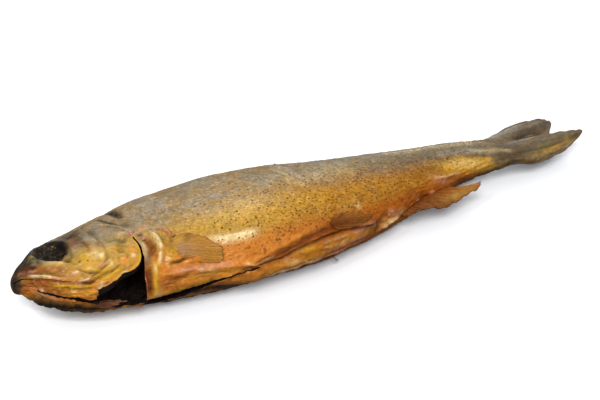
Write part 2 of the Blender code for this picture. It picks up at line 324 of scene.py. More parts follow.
headMarks = {
    "skull": patch((21, 54), (17, 13.5), "umber", 1, turn=6, steep=0.55),
    "skull side": patch((38.5, 60), (9.5, 11), "umber", 1),
    "snout top": patch((9, 79), (8, 10), "umber", 1, steep=0.4),
    "eye socket": patch((25, 75), (8.8, 10.8), "dark", 1, -4.4, steep=0.7),
    "socket shadow": patch((26.4, 65), (8.6, 11.5), "dark", 0.95, steep=0.75),
    "socket back rim": stroke(((34.8, 70), (34.9, 78), (33.9, 88)), 0.8, "olive", 0.4, 0.4),
    "socket rear shade": patch((34, 80), (3.4, 6), "umber", 0.6, turn=-20),
    "below the eye green": patch((30.5, 99), (3.6, 2.6), "olive", 0.85),
    "below the eye dark": stroke(((27.5, 110), (30.5, 106), (32.5, 98), (33, 90)), 1, "umber", 0.6, -0.3),
    "socket low rim": stroke(((17, 80), (20.5, 92), (25, 98.5), (29, 99.5)), 0.8, "olive", 0.6, 0.5),
    # painted highlight on the socket's lower rim
    "socket shelf highlight": stroke(((25.8, 92), (28, 93.5), (30.6, 90.5)), 1.1, "pale", 0.5, 2),
    "skull crest": stroke(((16, 40), (24, 34), (33, 36), (42, 44)), 1.6, height=0.8),
    "skull dent": stroke(((36, 58), (42, 52), (49, 50)), 2.2, "dark", 0.35, -0.9),
    "nostril": patch((16.3, 63), (1.3, 1), "dark", 0.9, -1),
    "snout bump": patch((16.2, 72), (2.4, 2), "olive", 0.9, 0.8),
    # painted highlight on the snout bump
    "snout bump highlight": patch((16.6, 70), (0.9, 0.7), "pale", 0.5, 0.3),
    "jaw top ridge": stroke(
        ((6.6, 71), (13.7, 84), (20.8, 102), (26, 112), (29.5, 122)), 0.9, "olive", 0.3, 0.8,
    ),
    # painted highlight on the jaw's top ridge
    "jaw top highlight": stroke(((20, 106), (24, 110.5), (27.5, 115)), 0.9, "pale", 0.45, 0.5),
    "above jaw grey": patch((16.6, 98), (2.6, 3.8), "umber", 0.85),
    "jaw top brown": patch((29.6, 109), (2.4, 3.2), "dark", 0.45),
    "under socket brown": patch((31.9, 101), (2.2, 3), "dark", 0.35),
    "groove over jaw": stroke(
        ((9, 70), (15, 80), (21.5, 95), (27.5, 104), (32, 118)), 0.8, "dark", 0.6, -0.8,
    ),
    "upper jaw band": stroke(
        ((5, 88), (10.6, 110), (17.1, 121), (22.7, 126), (27.5, 129)), 2.3, "rust", 0.8, 0.6,
    ),
    "band light": stroke(((14.5, 117), (18.5, 122), (24, 127.5)), 0.8, "orange", 0.35, 0.3),
    "upper jaw dark": stroke(((4.4, 84), (8.5, 96), (12, 104), (15.5, 111)), 2.3, "umber", 1),
    "snout rim": stroke(((3.4, 96), (4.6, 80), (7.6, 62), (11.5, 50), (17, 43)), 2.4, "dark", 0.65),
    "snout dark": patch((10.5, 71), (5, 11), "dark", 0.5),
    "lip speckle": stroke(((5.6, 95), (6.4, 100), (7.9, 106), (9.6, 111)), 0.85, "pink", 0.38, 0.25),
    "lip speckle light": stroke(((10, 112), (11.8, 116), (13.8, 119.5)), 0.65, "pink", 0.9, 0.3),
    "band shade": stroke(((6.4, 92), (10, 97), (15, 109)), 1.5, "dark", 0.55),
    "under the eye": stroke(((12, 82), (17, 97), (21.5, 107)), 1, "slate", 0.7),
    "groove over lip": stroke(
        ((4.8, 90), (8, 106), (11.1, 118), (13.8, 126), (18, 131.5), (22, 136.5), (26, 140)),
        0.7, "dark", 0.4, -0.6,
    ),
    "upper lip": stroke(
        ((9.4, 124), (11.5, 128), (14.2, 132), (17.3, 136), (20.2, 140.5), (24, 144.5)),
        0.65, "pink", 1, 0.6,
    ),
    # painted highlight along the upper lip
    "upper lip highlight": stroke(
        ((10, 125), (11.6, 128.5), (14.2, 132), (17.3, 136), (20.2, 140)), 0.6, "pale", 0.95, 0.3,
    ),
    "red line of the mouth": stroke(
        ((7.6, 134), (9.8, 139.5), (15.7, 145.5), (21.4, 150), (27, 152)), 0.8, "rust", 0.95, -0.3,
    ),
    "snout tip": patch((2.5, 128), (4.8, 13), "umber", 1, steep=0.5),
    "snout tip dark": stroke(((3.4, 88), (2.6, 112), (2, 140), (2.6, 165)), 1.9, "dark", 0.7),
    "chin": patch((5, 156), (2.6, 4.5), "umber", 0.8),
    "chin underside": patch((6.5, 205), (7.5, 9), height=-2.4),
    "mouth corner": stroke(((30, 151), (33.5, 153), (37, 150)), 0.9, "dark", 0.8, -1),
    "mouth corner shade": stroke(((24, 147.5), (27.4, 149), (31.9, 151.5)), 1.1, "dark", 0.22),
    "jaw end shade": patch((32.3, 138.5), (1.3, 1.3), "dark", 0.4),
    "jaw joint light": patch((38.6, 161), (2, 2), "pale", 0.45, 0.2),
    "jaw ridge shade": patch((29.4, 161.5), (3, 1.5), "dark", 0.3),
    "jaw low brown": stroke(((13.5, 172), (16.5, 175.5), (20.2, 175), (24, 177)), 1.8, "umber", 0.5),
    "jaw rear brown": patch((32.7, 182), (2.4, 2.2), "umber", 0.4),
    "chin light": patch((12.4, 182), (2.2, 2.4), "pale", 0.3),
    "lower lip": stroke(((6, 143), (10, 145), (15, 149), (21, 152), (27, 157)), 1.2, "rust", 0.3, 0.6),
    "lower lip shade": stroke(((5.4, 131), (6.4, 140), (7.2, 149)), 1.8, "umber", 0.6),
    "lip shade": stroke(((6, 150), (9, 152), (12, 154)), 1.4, "umber", 0.25, -0.2),
    "jaw side": stroke(((5, 156), (12.8, 157), (19.2, 160), (27, 165)), 2.4, "rust", 0.4),
    "jaw ridge": stroke(((17, 160), (23, 160), (29, 160), (36, 159)), 1.3, "gold", 0.8, 0.8),
    "jaw side brown": stroke(((20, 158), (27, 161), (34, 166)), 1.2, "umber", 0.35, -0.2),
    "jaw muscle": stroke(((22, 173), (29, 173), (37, 169)), 1.3, "gold", 0.5, 0.5),
    "jaw furrow": stroke(((12, 163), (20, 164), (29, 165.5), (36, 164)), 0.6, "umber", 0.8, -0.6),
    "jaw low edge": stroke(((7, 176), (12, 180), (16.5, 186), (22, 190)), 0.8, "pink", 0.45, 0.4),
    # painted shade under the jaw
    "jaw underside shade": stroke(((14, 196), (22, 202), (31, 207), (38, 209)), 2.4, "umber", 0.6),
    "right jaw": stroke(((10, 198), (18, 201), (25.6, 205), (36, 206)), 1.5, "gold", 0.4, 0.4),
    # a dark bulge under the jaw: painted shade and the shadow under the head
    "jaw bottom": stroke(((8, 212), (16.5, 214), (23, 217), (30, 221), (44, 221)), 3.4, "dark", 0.95, 2.4),
    "jaw bottom shade": stroke(((7, 205), (16.5, 203.5), (23, 205), (30, 206), (46, 207)), 2.6, "dark", 1),
    "upper jaw end": stroke(((26.5, 138), (29.9, 134), (32.4, 130.5)), 1.2, "pink", 0.8, 1),
    # painted glint on the end of the upper jaw
    "upper jaw end glint": stroke(((28, 136), (29.9, 133), (31.4, 131)), 0.6, "pale", 0.8, 0.3),
    "fold below it": stroke(((28.4, 151.5), (32, 148.5), (35.4, 145.5)), 0.9, "pink", 0.8, 0.9),
    "fold below it shade": stroke(((19, 152), (24, 154), (29, 154.5), (34, 152)), 1.1, "rust", 0.85, -0.4),
    # painted highlight on the fold below the jaw
    "fold below it highlight": stroke(((29.6, 150.5), (32.2, 148), (34.6, 146)), 0.5, "pale", 0.9, 0.3),
    "cover fold": stroke(((40.2, 129.5), (44.4, 128), (47.6, 127)), 0.8, "pink", 0.6, 0.6),
    "jaw block end": stroke(((36.2, 172), (37.5, 180), (38, 190)), 1.8, "umber", 0.85),
    "fold behind it": patch((35, 141), (2.4, 1), "pink", 0.2, 0.8, turn=20),
    "cheek fold": stroke(((31, 124), (33.5, 131), (37.5, 137), (42, 139)), 0.7, "umber", 0.8, -0.7),
    "cheek fold light": stroke(((33.5, 127), (37, 133), (41, 135.5)), 0.7, "gold", 0.8, 0.6),
    "lower cheek fold": stroke(((37, 146), (40.5, 147), (44, 143)), 0.7, "umber", 0.6, -0.6),
    "cheek": patch((37.5, 112), (6, 7), "gold", 0.75, 0.5),
    "cheek green": patch((36, 103), (5, 4.6), "olive", 1),
    "socket edge dark": stroke(((33.4, 66), (34.8, 76), (33.6, 88), (31, 97)), 1.4, "umber", 0.65),
    # painted highlights on the cheek
    "cheek highlight": patch((43.2, 111), (3, 4.2), "pale", 0.42, 0.4, turn=20),
    "cheek highlight core": patch((45, 116), (1.6, 2), "pale", 0.9, 0.3, turn=20),
    "cheek seam": stroke(((41.3, 82), (41.8, 92), (41, 101), (40, 108)), 0.9, "rust", 0.9, -0.5),
    "cheek brown": patch((38.4, 74), (3.8, 7), "rust", 0.6, 0.2),
    "cheek olive": patch((37.5, 74), (3.2, 5), "olive", 0.5),
    "cheek umber": patch((38.5, 84), (8, 12), "umber", 0.36),
    "cheek dark band": stroke(((39.6, 66), (41, 74), (41.6, 81)), 1.8, "dark", 0.55),
    "cheek dark band end": stroke(((41.4, 82), (40.4, 88), (39.4, 93)), 1.5, "dark", 0.3),
    "cover top shade": patch((47.8, 75), (3.6, 6), "umber", 0.8),
    "cover middle shade": patch((47.4, 98), (2.6, 3.5), "umber", 0.55),
    "cover brown": stroke(((58.6, 102), (56.4, 110), (55.1, 117), (54, 122)), 2.2, "dark", 0.34),
    "cover glint": patch((47.8, 129), (2, 1.5), "pale", 0.5, 0.3),
    "cheek glint": patch((36.8, 129), (1.8, 1.4), "pale", 0.4, 0.2),
    "cheek rust": patch((36.5, 80), (3.4, 4.6), "rust", 0.7, -0.3),
    "cheek shade": patch((37, 69), (5.4, 7.5), "umber", 0.6),
    "behind the eye": patch((37.5, 60), (4, 4), "dark", 0.7, -0.5),
    "pore one": patch((34, 114), (0.7, 0.7), "dark", 1, -0.6),
    "pore two": patch((37.6, 117), (0.65, 0.65), "dark", 1, -0.6),
}

gillCoverMarks = {
    "front plate groove": stroke(
        ((45.2, 62), (47.2, 76), (48.4, 90), (48.7, 104), (48.2, 116)), 0.5, "umber", 0.5, -0.45,
    ),
    "front plate groove end": stroke(
        ((48.4, 112), (47.6, 120), (44.6, 127), (40.5, 132)), 0.5, "umber", 0.5, -0.5,
    ),
    "front plate edge": stroke(
        ((43.6, 66), (45.9, 78), (47, 92), (47.2, 106), (46.3, 117), (43, 126), (38, 129)), 1.1, height=0.3,
    ),
    "upper edge": stroke(((51.9, 61), (57.8, 77), (62.5, 88), (66, 100)), 1, "pale", 0.25, 0.5),
    # painted grey sheen on the top of the cover
    "top light": patch((55, 82), (7, 8), "slate", 0.12, 0.3, turn=20),
    "top dent": stroke(((51, 96), (56, 101), (60.5, 110)), 1.6, "olive", 0.7, -0.8),
    "top swell": stroke(((56, 92), (60, 99), (63.5, 108)), 1.4, "umber", 0.25, 0.5),
    "red spot": patch((54.2, 131), (2.8, 2.4), "orange", 0.95, 0.2),
    "edge orange": stroke(((60.9, 116), (60.2, 125), (58.4, 133)), 1.8, "orange", 0.6),
    "edge lip": stroke(
        (
            (64.3, 104), (64, 119), (62.7, 130), (60.4, 139),
            (56, 145), (49.4, 149), (43.6, 160), (36.5, 170),
        ),
        0.7, "gold", 0.6, 0.35,
    ),
    "inner seam": stroke(
        ((59.2, 134), (56.7, 139), (51.5, 143), (45, 149), (38.5, 155)), 0.7, "umber", 0.5, -0.7,
    ),
    "lower plate seam": stroke(((52, 137), (46, 140), (39, 146), (34, 153)), 0.6, "umber", 0.6, -0.7),
    "lower plate light": stroke(((51.5, 140), (45, 146), (39, 151)), 1.3, "gold", 1, 0.4),
    "plate wrinkle three": stroke(((57.6, 124), (55, 131), (51.5, 136)), 0.5, "umber", 0.5, -0.6),
    "plate wrinkle two": stroke(
        ((53.5, 131.5), (49, 137), (44, 144), (38.5, 151)), 0.5, "umber", 0.8, -0.6,
    ),
    "plate wrinkle one": stroke(((49.2, 126), (45, 130.5), (40, 137), (36, 144)), 0.5, "umber", 0.8, -0.6),
    "plate wrinkle light": stroke(
        ((50.6, 128), (46, 133.5), (41.5, 139.5), (37, 146)), 0.6, "gold", 0.9, 0.5,
    ),
    "throat fold": stroke(((44, 155), (40, 160), (35, 166)), 0.7, "umber", 0.7, -0.6),
    # painted glints on the cover's free edge
    "edge light": patch((59.4, 128), (1.2, 1.3), "pale", 0.9, 0.5),
    "low edge light": patch((51.6, 146), (1.4, 0.8), "pale", 0.9, 0.6),
}

napeMarks = {
    "nape groove": stroke(
        ((54, 36), (56.8, 55), (58.6, 74), (61.8, 86), (65.4, 97)), 0.8, "umber", 0.6, -0.8,
    ),
    "shoulder edge": stroke(((60.6, 36), (62, 55), (64.5, 78), (67, 88), (69.5, 95)), 1.6, height=0.4),
    "nape line": stroke(((57, 50), (59.2, 72), (62.4, 85)), 0.5, "dark", 0.8, -0.3),
    "nape dent": stroke(((64, 30), (65.2, 42), (66, 54), (66, 64), (66, 76)), 2.3, "umber", 1, -1.3),
    "dent shade": stroke(((64.6, 38), (66, 50), (66.4, 64)), 2, "dark", 0.85, -0.3),
    "nape shade": patch((63.5, 90), (3.6, 5.5), "umber", 0.7, -0.3),
    "nape brown band": stroke(((56, 78), (58.3, 82), (61.7, 86), (66.4, 93)), 2.2, "umber", 0.85),
    "nape light": patch((60, 97), (2.2, 2.2), "pale", 0.55, 0.2),
    "nape brown": patch((61, 82), (14, 14), "umber", 0.27),
    "nape orange": patch((70.7, 101), (3, 2.6), "orange", 0.75, 0.3),
    "pink knot": patch((64.8, 103), (2.4, 1.3), "pink", 0.8, 0.9, turn=45),
    "red knot": patch((67.6, 108), (2.2, 1.6), "umber", 1, 0.4, turn=40),
}

collarMarks = {
    "collar": stroke(
        ((69, 104), (73, 110), (74.8, 119), (74.2, 129), (71.6, 138), (68.2, 147)), 1.5, height=1.9,
    ),
    "collar foot": stroke(((68.4, 147), (66.4, 156), (65, 168), (64.2, 180), (64, 192)), 1.9, height=1.1),
    # a pale crest with a painted highlight along it
    "pale crest": stroke(((73.4, 111), (74.2, 119), (74, 127), (73.1, 134)), 1.15, "pale", 0.95, 0.4),
    "crest end": stroke(((72.6, 135.5), (71.5, 140), (70.3, 145), (69.2, 149)), 0.9, "pale", 0.95, 0.3),
    "crest gap": patch((69.7, 137), (0.9, 2.4), "rust", 0.6),
    "golden knot": patch((66.9, 151.5), (2.6, 3.4), "gold", 1, 1),
    "golden knot light": patch((66.5, 153), (1.4, 2.6), "pale", 0.35, 0.2),
    "behind the crest light": stroke(((75.2, 141), (74.4, 144), (73.4, 147)), 1.1, "pale", 0.5, 0.2),
    "inner strip top": patch((66.4, 113), (1.6, 2.6), "rust", 0.5),
    "golden strip": stroke(
        ((67.2, 151), (66.6, 156), (65.8, 162), (65.2, 170), (65.1, 181), (64.6, 193)),
        1.5, "gold", 0.9, 0.15,
    ),
    "red hollow": stroke(
        ((69, 113), (69.8, 119), (69.9, 125), (68.6, 131), (67, 138)), 1.9, "rust", 1, -1.6,
    ),
    "golden hollow": stroke(((68, 112), (68, 119), (67, 126)), 0.7, "gold", 0.3, -0.2),
    "hollow shade": stroke(((71.4, 122), (71, 127), (69.6, 132)), 1, "umber", 0.55, -0.3),
    "inner strip": stroke(
        ((66.4, 113), (66.6, 121), (66, 130), (64.8, 138), (63.6, 143)), 1.4, "slate", 0.6, 0.7,
    ),
    "inner strip foot": stroke(((66.2, 134), (65.4, 140), (64.6, 147)), 1.7, "umber", 0.5, -0.2),
    "strip sheen": stroke(((66.9, 117), (66.8, 124), (66.2, 130)), 0.7, "pale", 0.3, 0.2),
    "red foot": stroke(
        ((65, 146), (63.4, 156), (62.9, 165), (62.3, 175), (62.2, 186)), 1.6, "rust", 1, -1.2,
    ),
    "red foot shade": stroke(((65, 145), (63.4, 157), (62.9, 166), (62.4, 184)), 1.15, "dark", 0.42, -0.3),
    "red foot rim": stroke(((62.2, 150), (61.5, 160), (61.3, 170), (61.5, 182)), 0.9, "rust", 1),
    "red foot rim shade": stroke(((62.2, 150), (61.6, 158), (61.6, 166)), 0.9, "dark", 0.4),
    "collar left dark": stroke(((63.8, 136), (62.8, 144), (61.8, 151), (61.6, 160)), 1.3, "dark", 0.55),
    "collar low dark": stroke(((62, 177), (61.9, 184), (61.9, 190)), 1.3, "dark", 0.5),
    "collar foot pale": patch((66.2, 187), (3, 3), "pale", 0.35),
    "pink edge of the gap": stroke(((60.6, 160), (60.2, 168), (60.1, 179)), 0.45, "pink", 0.7, 0.4),
    "behind the collar": stroke(
        ((77.4, 124), (77.2, 131), (75.4, 139), (72.2, 149)), 1.1, "rust", 0.5, -0.9,
    ),
    "roll foot shade": patch((79, 134), (1.8, 3), "dark", 0.35),
    "shoulder roll": stroke(
        ((76, 107), (79.4, 111), (81.2, 118), (80.8, 126), (77.2, 132)), 1.2, "rust", 0.8, 1.3,
    ),
    "shoulder roll light": stroke(
        ((77, 107.6), (79.9, 112), (81.2, 118), (80.9, 123)), 0.7, "pink", 0.85, 0.5,
    ),
    "roll hollow": patch((77.3, 120), (1.6, 3), "olive", 0.6, -0.6),
    "foot brown": patch((76, 172), (11, 4.4), "rust", 0.85, turn=2),
    "foot warm": patch((80.5, 180.5), (5.5, 3.2), "rust", 0.65),
    "foot dark edge": stroke(((70.5, 188), (77.7, 185), (84, 184.5)), 1.6, "dark", 0.5),
    "foot red": stroke(((70, 170), (76, 171.5), (84, 173)), 1.8, "rust", 0.8, -0.4),
}

ventRidge = ((200.4, 188), (202.6, 184.5), (206, 182.3), (210.5, 182.3), (215.5, 184))
bellyMarks = {
    "fin base": patch((78, 139), (4.6, 4.4), "gold", 0.9, 1.6),
    "fin base light": patch((83.5, 143), (1.3, 1.6), "pale", 0.8, 0.7),
    "fin base fold": stroke(
        ((74.6, 152), (77, 150.5), (79.6, 151.5), (82.8, 149), (85.6, 149.5)), 0.75, "umber", 1, -1.4,
    ),
    # painted highlight along the flank above the belly
    "painted highlight strip": stroke(((99, 135), (106.2, 138), (114, 139), (124.5, 137.5)), 2.5, "pale", 1, 0.8),
    "groove over strip": stroke(((97, 128), (106, 132), (117, 134), (128, 133)), 1.6, "olive", 0.3, -0.5),
    "belly fold": stroke(
        (
            (67.5, 162), (73.1, 163), (81.1, 165.5), (90.2, 167.5),
            (98.1, 170), (107.5, 171.5), (115.3, 172), (122, 171),
        ),
        1.6, "orange", 0.8, 1.6,
    ),
    # painted highlight along the crest of the belly fold
    "fold light": stroke(
        ((74, 161), (80, 162.5), (86, 163.5), (92, 165), (99, 167), (106, 167)), 1, "pink", 0.9, 0.3,
    ),
    "under the fold": stroke(
        ((70, 178), (80, 178), (90, 178.5), (101, 180), (112, 180), (121, 178)), 2.4, "orange", 0.5, -0.5,
    ),
    "below the fold light": stroke(((78, 177), (88, 176), (98, 177), (108, 177)), 1.6, "gold", 0.6, 0.2),
    "flap edge": stroke(
        ((64.5, 190), (70.7, 188), (77.7, 185.5), (84.5, 183.5), (91.5, 183), (100.8, 182.5), (112, 181)),
        0.8, "gold", 0.8, 0.6,
    ),
    "flap warm shade": patch((123, 187), (5, 3), "rust", 0.3),
    "band red": patch((152, 163), (6, 2.2), "rust", 0.3),
    "fold orange": patch((133, 151), (9, 4), "orange", 0.5),
    "fold glow": patch((88.6, 169), (4, 1.8), "orange", 0.7),
    "fold gold": patch((103.5, 176), (5, 2), "gold", 0.5),
    "fold gold band": stroke(
        ((87, 169), (91.5, 170.5), (97.4, 174.5), (103.5, 178), (108.2, 180), (114, 181.5)),
        1.3, "gold", 0.7, 0.2,
    ),
    # painted light on the band under the belly fold
    "fold painted light": stroke(((87, 168.5), (91.5, 169.5), (97, 173)), 1, "pale", 0.35, 0.5),
    # painted shade along the foot of the flap
    "flap foot shade": stroke(((79, 185), (85.8, 184), (92, 182.5), (98, 184.5)), 1.4, "dark", 0.6),
    "flap foot red": stroke(((102, 184), (106.6, 185), (113, 187), (118, 187)), 1.4, "rust", 0.75),
    "upper fold": stroke(
        ((120.9, 168), (128.4, 166), (135, 162), (144.7, 157), (152.5, 153), (161.4, 149.5)),
        1.6, "orange", 0.5, 1.2,
    ),
    "fold shade": stroke(
        (
            (120, 175), (127, 174), (134, 172), (141, 168), (148.5, 163),
            (156, 158), (165, 157), (176, 159), (188, 163),
        ),
        2.4, "rust", 1, -1.5,
    ),
    # the slit and its end: grooves darkened with painted shade inside the opening
    "slit": stroke(
        (
            (106, 184), (112, 183), (117, 179.5), (124, 179), (131, 179), (138, 176.5),
            (145, 171.5), (153, 168.5), (162, 165.5), (171, 165.5), (180, 169),
        ),
        0.75, "dark", 0.8, -1.6,
    ),
    "slit end": stroke(((176, 167.5), (184, 171.5), (191, 175), (197, 177)), 0.9, "dark", 0.8, -1.3),
    "oval bump": patch((149, 175), (8, 2.2), "gold", 0.6, 1.2, turn=-3),
    "bump end": patch((159.5, 173.5), (2.4, 1.4), "rust", 1, 0.7),
    "lower flap": stroke(
        ((104, 192), (118, 192), (140, 187), (160, 181), (180, 180), (196, 184)), 2.8, "gold", 0.3, 0.7,
    ),
    "lower flap seam": stroke(
        ((118, 193), (131.7, 195), (145.1, 193), (160, 192), (176, 194)), 1, "umber", 0.35, -0.5,
    ),
    "flap marble one": stroke(((157, 178), (163, 180), (168, 180), (176, 178.5)), 0.7, "pale", 0.15, 0.4),
    "flap marble two": stroke(((160, 184), (168, 184), (177, 183), (188, 181)), 1.2, "pink", 0.7, 0.3),
    "flap marble three": stroke(((156, 180), (164, 182), (172, 181)), 0.7, "umber", 0.7, -0.6),
    "flap marble four": stroke(((176, 187), (186, 184), (195, 182)), 1.4, "umber", 0.45, 0.2),
    "flap top light": stroke(((157, 173.5), (166, 172.5), (176, 174)), 0.9, "pale", 0.25, 0.3),
    "flap low pink": stroke(((162, 197), (178, 196), (189, 193)), 1.6, "pink", 0.8),
    "flap end pink": stroke(((150, 196.5), (162, 196), (174, 194)), 1.4, "pink", 0.7),
    "flap glint": patch((139, 184), (5, 2), "pale", 0.4, 0.2),
    "flap sheen": stroke(((122, 197), (132, 198.5), (146, 196), (158, 191)), 2.2, "pink", 0.9, 0.2),
    # painted light on the underside of the flap
    "flap painted light": stroke(((126, 197.5), (136, 198.5), (148, 194), (160, 189)), 1.2, "pale", 0.65, 0.2),
    # painted shade under the belly
    "belly underside shade": stroke(((112, 216), (135, 213), (160, 209), (176, 207)), 4, "dark", 0.65, -1.6),
    "belly rear underside": stroke(((176, 207), (190, 205.5), (208, 203)), 4, height=-1.6),
    # painted shadow on the underside of the flap and along the body's foot
    "flap painted shadow": stroke(
        ((58, 208), (70, 205), (82, 201), (94, 200), (104, 205), (114, 210)), 4.6, "dark", 1, -0.9,
    ),
    "flap foot painted shadow": stroke(
        ((56, 224), (72, 221), (90, 218), (112, 216), (124, 214), (132, 212)), 4.5, "dark", 1,
    ),
    "torn piece": stroke(((112.5, 169.5), (115.7, 174.5), (119, 178)), 0.7, "pale", 0.5, 0.9),
    "torn piece two": stroke(((121, 174.5), (124.6, 173.5), (129, 172.5)), 0.6, "pale", 0.35, 0.7),
    "torn hole": patch((112.5, 180), (2.6, 1.4), "dark", 0.5, -1.2),
    "torn hole two": patch((119.5, 182.5), (2.8, 1.1), "dark", 0.5, -1),
    "gold spot": patch((188.3, 139), (1.6, 2.4), "pale", 0.6, 0.3),
    "pink edge": stroke(((178, 172), (184, 173), (191, 173), (198, 177)), 1.6, "pink", 0.7, 0.5),
    # painted highlight along the vent's ridge, over its orange
    "vent ridge": stroke(ventRidge, 1.5, "pale", 0.8, 1.8),
    "vent ridge warm": stroke(ventRidge, 1.8, "orange", 1),
    "vent ridge crack": stroke(((203.4, 190), (204.6, 184), (205.4, 178)), 0.5, "umber", 0.7, -0.6),
    "vent ridge crack two": stroke(((208.6, 188), (209.4, 183), (209.6, 178)), 0.45, "rust", 0.8, -0.5),
    "vent orange": stroke(((200.5, 176), (206, 175.5), (213, 178)), 1, "orange", 0.8, 0.4),
    "vent rear light": patch((217, 178), (4, 2.4), "pale", 0.35, 0.2),
    "vent knot": patch((209.5, 171), (3, 2), "pink", 0.9, 1, turn=20),
    "vent shade": stroke(((188, 177), (195, 180), (202, 174), (209, 172)), 2.4, "umber", 0.6, -0.7),
    # painted shade in the crevice beside the vent ridge
    "vent crevice": stroke(((199, 175), (198.7, 181), (196.8, 186), (195.4, 191)), 0.75, "dark", 0.9, -1.8),
    "anal shade": patch((232, 172), (14, 6.5), "rust", 0.45, -0.3, turn=18),
    "red patch": patch((238, 183), (4.6, 4.2), "rust", 1, -1.2),
    "red patch dark": patch((237.6, 182), (3.2, 3), "umber", 0.5, -0.3),
    "red patch lump": patch((243.4, 178), (2.2, 1.8), "pink", 0.9, 0.8),
    "red patch lump two": patch((231.5, 176), (1.8, 1.4), "pink", 0.8, 0.7),
    "anal underside": stroke(((212, 200), (224, 196), (238, 200)), 4.5, height=-2.2),
}

flankMarks = {
    "crease": stroke(((159, 40), (162.5, 52), (165.5, 68), (167.2, 84), (169.5, 95)), 1.2, height=-0.8),
    "crease edge": stroke(((162, 40), (165.5, 52), (168.3, 68), (170, 84)), 1.4, "slate", 0.55, 0.5),
    "side line": stroke(
        ((76, 103), (110, 98), (150, 96), (190, 97), (230, 103), (262, 110), (298, 110)), 2.4, height=-0.35,
    ),
    "back dent": stroke(((95, 62), (130, 58), (160, 60)), 9, height=-0.6),
    "back seam": stroke(((170, 74), (200, 78), (230, 82), (262, 88), (290, 92)), 2.2, "olive", 0.35, -0.5),
    "back ridge": stroke(((225, 62), (250, 66), (275, 72), (300, 76)), 2.4, "pale", 0.35, 0.6),
    "gold cheek of flank": patch((150, 118), (40, 10), "gold", 0.35, turn=-8),
    "yellow shoulder": patch((118, 116), (22, 7), "gold", 0.4, turn=-6),
    "flank light": patch((127, 110), (24, 8), "pale", 0.22, turn=-6),
    "amber flank": patch((246, 128), (14, 7), "rust", 0.3),
    "yellow root": patch((271, 142.5), (20, 5.6), "gold", 1, 0.4, turn=4),
    "yellow root end": stroke(((276, 143), (284, 143), (292, 144)), 2.2, "gold", 0.7),
    "root glow": patch((272, 142), (14, 4), "pale", 0.38, turn=6),
    "root pink bits": stroke(((247, 148), (254, 156), (262, 161), (268, 165)), 0.8, "pale", 0.35, 0.8),
    "root red": stroke(((250, 164), (257, 167.5), (264, 170)), 1.4, "rust", 0.5, -0.4),
    "pink root": patch((251.5, 157.5), (7.5, 3), "pink", 0.6, 0.4, turn=16),
    "pink root two": patch((249.5, 159), (4, 2.2), "pink", 0.5),
    "dark root line": stroke(
        (
            (243, 126), (250, 128.5), (256, 128), (263, 124.5),
            (270, 124), (277, 125), (286, 127), (294, 134),
        ),
        1.5, "umber", 0.7, -0.4,
    ),
    "above root line": patch((258, 117), (7, 3.2), "umber", 0.5),
    "root grey": stroke(((256, 92), (270, 101), (284, 109), (295, 116)), 3, "slate", 0.7),
    "root light": stroke(((284, 110), (292, 114), (299, 118), (308, 121)), 1.9, "pale", 0.35, 0.2),
    "root shade": patch((294, 166), (7, 6), "umber", 0.35),
    "rear back": stroke(
        ((170, 48), (200, 52), (232, 58), (262, 66), (290, 80), (300, 84)), 8, "slate", 0.5,
    ),
    "pale back": patch((178, 84), (38, 9), "pale", 0.22, turn=-3),
    "crease light": stroke(((160.3, 62), (162.3, 76), (163.4, 88), (166.5, 101)), 2.4, "pale", 0.42),
    "neck shade": patch((86, 92), (14, 10), "umber", 0.1),
    # painted shade under the tail's root
    "root underside shade": stroke(((264, 206), (276, 208), (288, 210), (299, 212)), 4, "umber", 0.7, -1.7),
}

tailMarks = {
    "far roll": stroke(((307, 34), (320, 30), (336, 31), (346, 42), (349.5, 60)), 2.6, "slate", 0.5, 1.5),
    # painted grey sheen along the far lobe's upper rim
    "far sheen": stroke(((302, 30), (314, 26), (326, 24), (336, 25)), 3.4, "slate", 1),
    "roll end": patch((346, 50), (5, 6), "umber", 0.6),
    "roll end dark": patch((341, 61), (4.5, 5.5), "umber", 0.8),
    # painted shade in the hollow of the rolled far lobe
    "far hollow": stroke(((321, 62), (328, 57), (335, 52), (343, 56)), 2.6, "umber", 0.7, -2.2),
    "fork shade": stroke(((322, 70), (332, 68), (342, 68)), 1.4, "umber", 0.5, -0.6),
    # painted highlight on the near lobe's upper edge
    "fork highlight": stroke(((312, 84), (321, 79), (331, 77), (342, 77)), 1.1, "slate", 1, 0.5),
    "near ridge": stroke(
        ((306, 92), (316, 98), (326, 106), (336, 113), (343, 118), (349, 126)), 1.9, "slate", 0.25, 1.1,
    ),
    "near ridge shade": stroke(((322, 110), (332, 117), (341, 121)), 2.4, "umber", 0.3),
    "near yellow": patch((334, 141), (14, 5), "gold", 0.5),
    "near olive": patch((328, 127), (12, 4.5), "olive", 0.5),
    "near orange": patch((347, 142), (5, 3), "pale", 0.12),
    "near tip light": stroke(((338, 148), (345, 146), (350, 143)), 1.6, "orange", 0.35),
    "near tip dark": patch((346, 129), (5, 5), "umber", 0.8),
    "near rim": stroke(((318, 158), (330, 155), (342, 150), (349, 143)), 0.9, "umber", 0.6, 0.4),
    "near furrow": stroke(((305, 124), (316, 132), (328, 132), (340, 130)), 1.2, "umber", 0.6, -0.6),
    "brown root": patch((306, 137), (15, 8), "umber", 0.75),
    # painted shade along the tail's lower edge, where it comes near the floor
    "tail low edge": stroke(
        ((276, 185), (290, 187), (304, 174), (313.7, 164), (326, 166), (339, 165)), 2.2, "umber", 0.9,
    ),
    "root low edge": stroke(((258, 185), (265.6, 185), (276.5, 186)), 2, "dark", 0.5),
    "white fleck": patch((332.8, 160), (1, 0.6), "pale", 1, 0.2),
}

